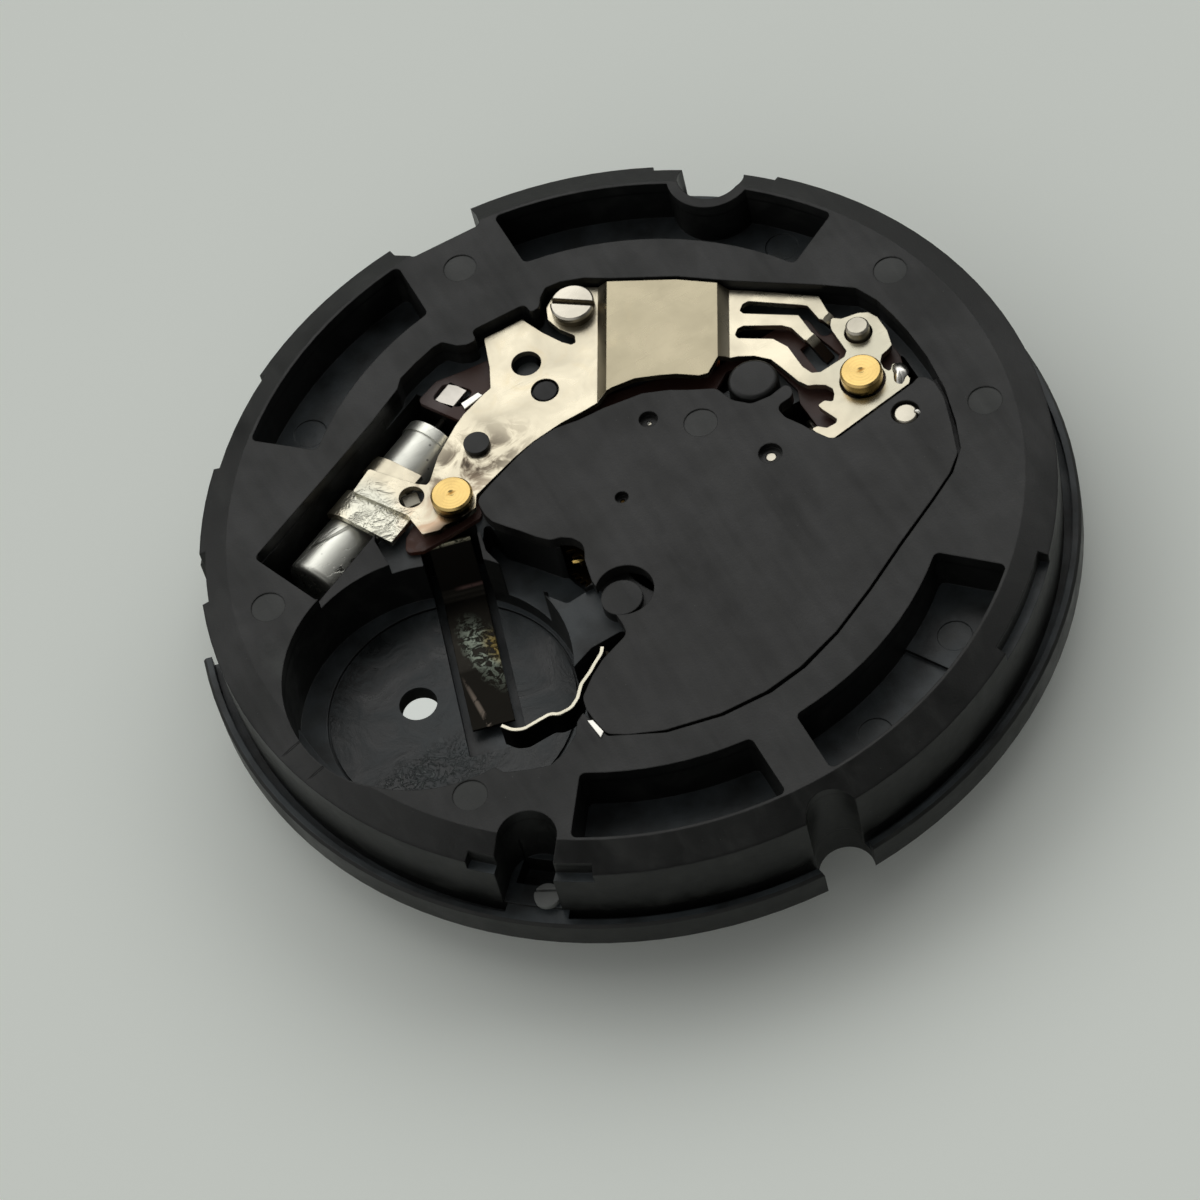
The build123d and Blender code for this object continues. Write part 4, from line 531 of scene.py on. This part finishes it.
def leaf_metal():
    """Contact leaf, blackened apart from a rubbed silver patch, with painted highlights on its bend and its
    edges.
    """
    shade = metal("leaf metal", srgb(40, 38, 34), 0.4, LEAF_GRAIN)
    chips = shade.noise(CHIP_SIZE, 6, 0.7, twist=0.8)
    silver = shade.broken(SILVER, chips, 0.47, 0.53)
    shade.stain(silver, srgb(118, 126, 114), 0.85)
    shade.stain(shade.broken(GOLD, chips, 0.46, 0.5), srgb(118, 98, 44), 0.8)
    # Painted highlight along the leaf's left edge
    shade.stain(shade.broken(LEAF_EDGE, chips, 0.44, 0.5), srgb(120, 110, 100))
    # Painted highlight on the bend
    bend = shade.times(shade.band(*LEAF_BEND_BAND), shade.broken(LEAF_BEND, chips, 0.36, 0.46))
    shade.stain(bend, srgb(96, 76, 72))
    # Painted highlight on the top edge
    top_edge = shade.times(shade.height(*LEAF_TOP_EDGE), shade.ramp(chips, 0.4, 0.5))
    shade.stain(top_edge, srgb(214, 210, 180))
    shade.bump(silver, SILVER_DEPTH, 0.5)
    return shade


# Board: paler beside its window and at its corner by the clamp, which is rusty too
WINDOW_SIDE = ((-3.0, 6.9), (0.8, 0.6), 0.3)
CLAMP_CORNER = ((-5.5, 2.8), 0.5, 0.4)
RUST = ((-5.9, 2.3), (0.5, 0.35), 0.5, 20)
RUST_SIZE = 0.3


def board_resin():
    """Brown board, paler and dirty in places."""
    shade = plastic("board resin", srgb(58, 36, 30), srgb(150, 128, 110), 0.45)
    shade.stain(shade.near(*WINDOW_SIDE), srgb(98, 86, 84), 0.6)
    shade.stain(shade.near(*CLAMP_CORNER), srgb(112, 88, 82), 0.8)
    shade.stain(shade.broken(RUST, shade.noise(RUST_SIZE, 5), 0.4, 0.5), srgb(70, 34, 14))
    return shade


# Materials by the record's slot, and by the node where a slot's nodes differ
SHADES = {
    "black_plastic": body_plastic(),
    "bridge_plastic": bridge_plastic(),
    "insulator": insulator_film(),
    "peg_plastic": plastic("grey plastic", srgb(112, 114, 112), srgb(160, 160, 155)),
    "nickel_sheet": plate_steel(),
    "steel": metal("turned steel", srgb(206, 200, 184), 0.34),
    "dark_steel": metal("stamped steel", srgb(120, 116, 108), 0.4),
    "brass": shade_dark_train_brass(),
    "can_metal": can_metal(),
    "board": board_resin(),
    "chip_resin": plastic("resin", srgb(28, 28, 28), srgb(90, 90, 90)),
    "capacitor_metal": metal("tinned metal", srgb(204, 199, 190), 0.34),
    "copper_wire": metal("enamelled wire", srgb(150, 80, 40), 0.35),
    "magnet": metal("magnet", srgb(90, 90, 92), 0.45),
    "wheel_plastic": plastic("white plastic", srgb(205, 203, 190), srgb(180, 178, 165), 0.4),
}
NODE_SHADES = {
    "minus_contact": leaf_metal(),
    "plus_contact": strip_metal(),
    "brass_pins": pin_brass(),
    "cover_screw": screw_steel(),
}


def finish_nodes():
    """Gives every CAD node its material."""
    for part in RECORD["subparts"]:
        thing = frame["nodes"][part["node"]]
        shade = NODE_SHADES.get(part["node"], SHADES[part["material_slot"]])
        thing.data.materials.clear()
        thing.data.materials.append(shade.material)


def add_mesh(name, corners, faces, shade):
    """New object from corners in millimetres."""
    mesh = bpy.data.meshes.new(name)
    mesh.from_pydata([(x * MM, y * MM, z * MM) for x, y, z in corners], [], faces)
    mesh.materials.append(shade.material)
    thing = bpy.data.objects.new(name, mesh)
    bpy.context.scene.collection.objects.link(thing)
    return thing


def add_piece(name, corners, faces, shade):
    """New object that stays with the movement's body."""
    thing = add_mesh(name, corners, faces, shade)
    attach(thing, "movement")
    return thing


# Bevel of a small block, as a share of its height
BLOCK_BEVEL = 0.2
BEVEL_STEPS = 2


def add_block(name, corners, low, high, shade, slot):
    """Small bevelled piece with a plan outline between two heights."""
    count = len(corners)
    points = [(x, y, z) for z in (low, high) for x, y in corners]
    sides = [(i, (i + 1) % count, (i + 1) % count + count, i + count) for i in range(count)]
    caps = [tuple(reversed(range(count))), tuple(range(count, 2 * count))]
    thing = add_piece(name, points, sides + caps, shade)
    edge = thing.modifiers.new("edge", "BEVEL")
    edge.width = (high - low) * MM * BLOCK_BEVEL
    edge.segments = BEVEL_STEPS


# Mounds: how deep they are sunk, the smallest ring's share of the radii, and how uneven they are
MOUND_SINK = 0.02
MOUND_SIDES = 18
MOUND_STEPS = 5
LEAST_SHARE = 0.05
BROAD_WAVES = 0.12
FINE_WAVES = 0.07


def add_mound(name, spot, radii, heading, base, rise, shade, slot):
    """Low uneven mound, sunk a little into what carries it."""
    turn = radians(heading)
    points = []
    for step in range(MOUND_STEPS):
        share = 1 - (step / (MOUND_STEPS - 1)) ** 2
        ring = max(share, LEAST_SHARE)
        height = base - MOUND_SINK + (rise + MOUND_SINK) * (1 - share ** 2)
        for side in range(MOUND_SIDES):
            angle = tau * side / MOUND_SIDES
            uneven = 1 + BROAD_WAVES * sin(3 * angle + 1) + FINE_WAVES * cos(5 * angle)
            along = radii[0] * ring * uneven * cos(angle)
            across = radii[1] * ring * uneven * sin(angle)
            x = spot[0] + along * cos(turn) - across * sin(turn)
            y = spot[1] + along * sin(turn) + across * cos(turn)
            points.append((x, y, height))
    faces = []
    for step in range(MOUND_STEPS - 1):
        for side in range(MOUND_SIDES):
            after = (side + 1) % MOUND_SIDES
            low, high = step * MOUND_SIDES, (step + 1) * MOUND_SIDES
            faces.append((low + side, low + after, high + after, high + side))
    faces.append(tuple((MOUND_STEPS - 1) * MOUND_SIDES + side for side in range(MOUND_SIDES)))
    faces.append(tuple(reversed(range(MOUND_SIDES))))
    thing = add_piece(name, points, faces, shade)
    for face in thing.data.polygons:
        face.use_smooth = True


# Small blocks that the solids leave out: corners in plan, and two heights
TAB_CORNERS = [(-2.37, 5.9), (-1.69, 6.06), (-1.77, 6.25), (-2.375, 6.165)]
TAB_HEIGHTS = (BOARD_TOP, BOARD_TOP + 0.09)
CLIP_CORNERS = [(-4.31, -6.4), (-4.17, -6.47), (-4.08, -6.98), (-4.24, -7.12)]
CLIP_HEIGHTS = (FACE_TOP - 0.01, FACE_TOP + 0.04)
CLAMP_PIECE_CORNERS = [(-5.42, 3.55), (-4.95, 3.5), (-4.88, 3.95), (-5.38, 4.02)]
CLAMP_PIECE_HEIGHTS = (CAN_TOP, CAN_TOP + 0.1)

# Small mounds that the solids leave out: place, radii, heading, height that they lie at, and rise
PLATE_SOLDER = ((8.93, -0.33), (0.24, 0.42), -25, 2.85, 0.14)
BRIDGE_SOLDER = ((8.62, -2.04), (0.07, 0.13), 20, BRIDGE_TOP, 0.03)
ROTOR_PIVOT = ((1.9, 2.11), (0.1, 0.1), 0, ARBOR_TOP - 0.02, 0.04)
GOLD_CHIP = ((-1.95, -0.78), (0.2, 0.07), -20, 2.42, 0.05)


def add_details():
    tin = metal("bright tin", srgb(236, 234, 226), 0.25)
    worn_tin = metal("worn tin", srgb(150, 146, 134), 0.5)
    pivot = plastic("pale pivot", srgb(150, 150, 145), srgb(190, 190, 185), 0.3)
    gold = metal("gold chip", srgb(240, 205, 120), 0.3)
    add_block("solder_tab", TAB_CORNERS, *TAB_HEIGHTS, tin, "capacitor_metal")
    add_block("strip_clip", CLIP_CORNERS, *CLIP_HEIGHTS, tin, "steel")
    add_block("clamp_hole_piece", CLAMP_PIECE_CORNERS, *CLAMP_PIECE_HEIGHTS, worn_tin, "steel")
    add_mound("solder_0", *PLATE_SOLDER, tin, "capacitor_metal")
    add_mound("solder_1", *BRIDGE_SOLDER, tin, "capacitor_metal")
    add_mound("pivot_0", *ROTOR_PIVOT, pivot, "wheel_plastic")
    add_mound("chip_0", *GOLD_CHIP, gold, "brass")


# Plain pale floor under the hand posts, reaching far past them on each side. Under the hole in the
# bay a painted pool of light glows on it, so that it shows there as bright paper.
PAPER = srgb(245, 250, 244)
PAPER_CLOUD_SIZE = 30
PAPER_GLOW = 0.03
HOLE_PAINTED_GLOW = 0.6
HOLE_VIEW = ((-7.4, 0.3), 1.3, 0.1)
FLOOR_REACH = 1200


def add_floor():
    shade = Shade("paper", PAPER, 0.9, specular=0.1)
    shade.stain(shade.noise(PAPER_CLOUD_SIZE, 3), brighter(PAPER, 1.02))
    seen = shade.tree.nodes.new("ShaderNodeLightPath").outputs["Is Camera Ray"]
    # Painted light: a glowing patch under the bay's hole, added to the floor's even glow
    glow = shade.plus(shade.times(shade.near(*HOLE_VIEW), HOLE_PAINTED_GLOW), PAPER_GLOW)
    shade.surface.inputs["Emission Color"].default_value = (*PAPER, 1)
    shade.tree.links.new(shade.times(seen, glow), shade.surface.inputs["Emission Strength"])
    sides = [(-1, -1), (1, -1), (1, 1), (-1, 1)]
    corners = [(x * FLOOR_REACH, y * FLOOR_REACH, LOWEST) for x, y in sides]
    add_mesh("floor", corners, [(0, 1, 2, 3)], shade)


def camera_axes():
    """Right, up and forward directions of the camera, in the part's frame."""
    elevation, roll, turn = (radians(a) for a in (CAMERA_ELEVATION, CAMERA_ROLL, CAMERA_TURN))
    forward = Vector((0, cos(elevation), -sin(elevation)))
    level = Vector((1, 0, 0))
    raised = level.cross(forward)
    right = cos(roll) * level + sin(roll) * raised
    up = -sin(roll) * level + cos(roll) * raised
    back_turn = Matrix.Rotation(-turn, 3, "Z")
    return back_turn @ right, back_turn @ up, back_turn @ forward


def add_camera():
    """Camera that sees the seconds axis, at the height of the face, at its pixel."""
    right, up, forward = camera_axes()
    distance = CAMERA_DISTANCE * MM
    data = bpy.data.cameras.new("camera")
    data.sensor_width = SENSOR_WIDTH
    data.lens = SENSOR_WIDTH * FOCAL_PIXELS / IMAGE_SIZE
    data.clip_start = distance / CLIP_RATIO
    data.clip_end = distance * CLIP_RATIO
    across = (AXIS_PIXEL[0] - IMAGE_SIZE / 2) / FOCAL_PIXELS * distance
    above = -(AXIS_PIXEL[1] - IMAGE_SIZE / 2) / FOCAL_PIXELS * distance
    place = Vector((0, 0, FACE_TOP * MM)) - across * right - above * up - distance * forward
    camera = bpy.data.objects.new("camera", data)
    bpy.context.scene.collection.objects.link(camera)
    rotation = Matrix((right, up, -forward)).transposed().to_4x4()
    camera.matrix_world = Matrix.Translation(place) @ rotation
    bpy.context.scene.camera = camera


def add_room():
    """Soft light of a room: a bright wall behind, paler sides, a small pale patch above and a dim rest."""
    world = bpy.data.worlds.new("room")
    world.use_nodes = True
    room = Nodes(world.node_tree)
    way = room.tree.nodes.new("ShaderNodeTexCoord").outputs["Generated"]
    level = room.node("VectorMath", {0: way, 1: (1, 1, 0)}, operation="MULTIPLY")
    level = room.node("VectorMath", {0: level}, operation="NORMALIZE")
    rise = room.node("SeparateXYZ", {0: way}, out=2)
    lights = []
    for heading, facing, (low, full_from, full_to, high), strength in (BACK_WALL, LEFT_SIDE, RIGHT_SIDE):
        aim = Vector((*heading, 0)).normalized()
        faced = room.node("VectorMath", {0: level, 1: aim}, out=1, operation="DOT_PRODUCT")
        band = room.times(room.soft_ramp(rise, low, full_from), room.soft_ramp(rise, high, full_to))
        lights.append(room.times(band, room.soft_ramp(faced, *facing), strength))
    lights.append(room.times(room.soft_ramp(rise, *TOP_PATCH), TOP_LIGHT))
    background = room.tree.nodes["Background"]
    background.inputs["Color"].default_value = ROOM_COLOUR
    room.tree.links.new(room.plus(*lights, ROOM_LIGHT), background.inputs["Strength"])
    bpy.context.scene.world = world


finish_nodes()
add_details()
add_floor()
add_camera()
add_room()
bpy.context.scene.view_settings.view_transform = "Standard"
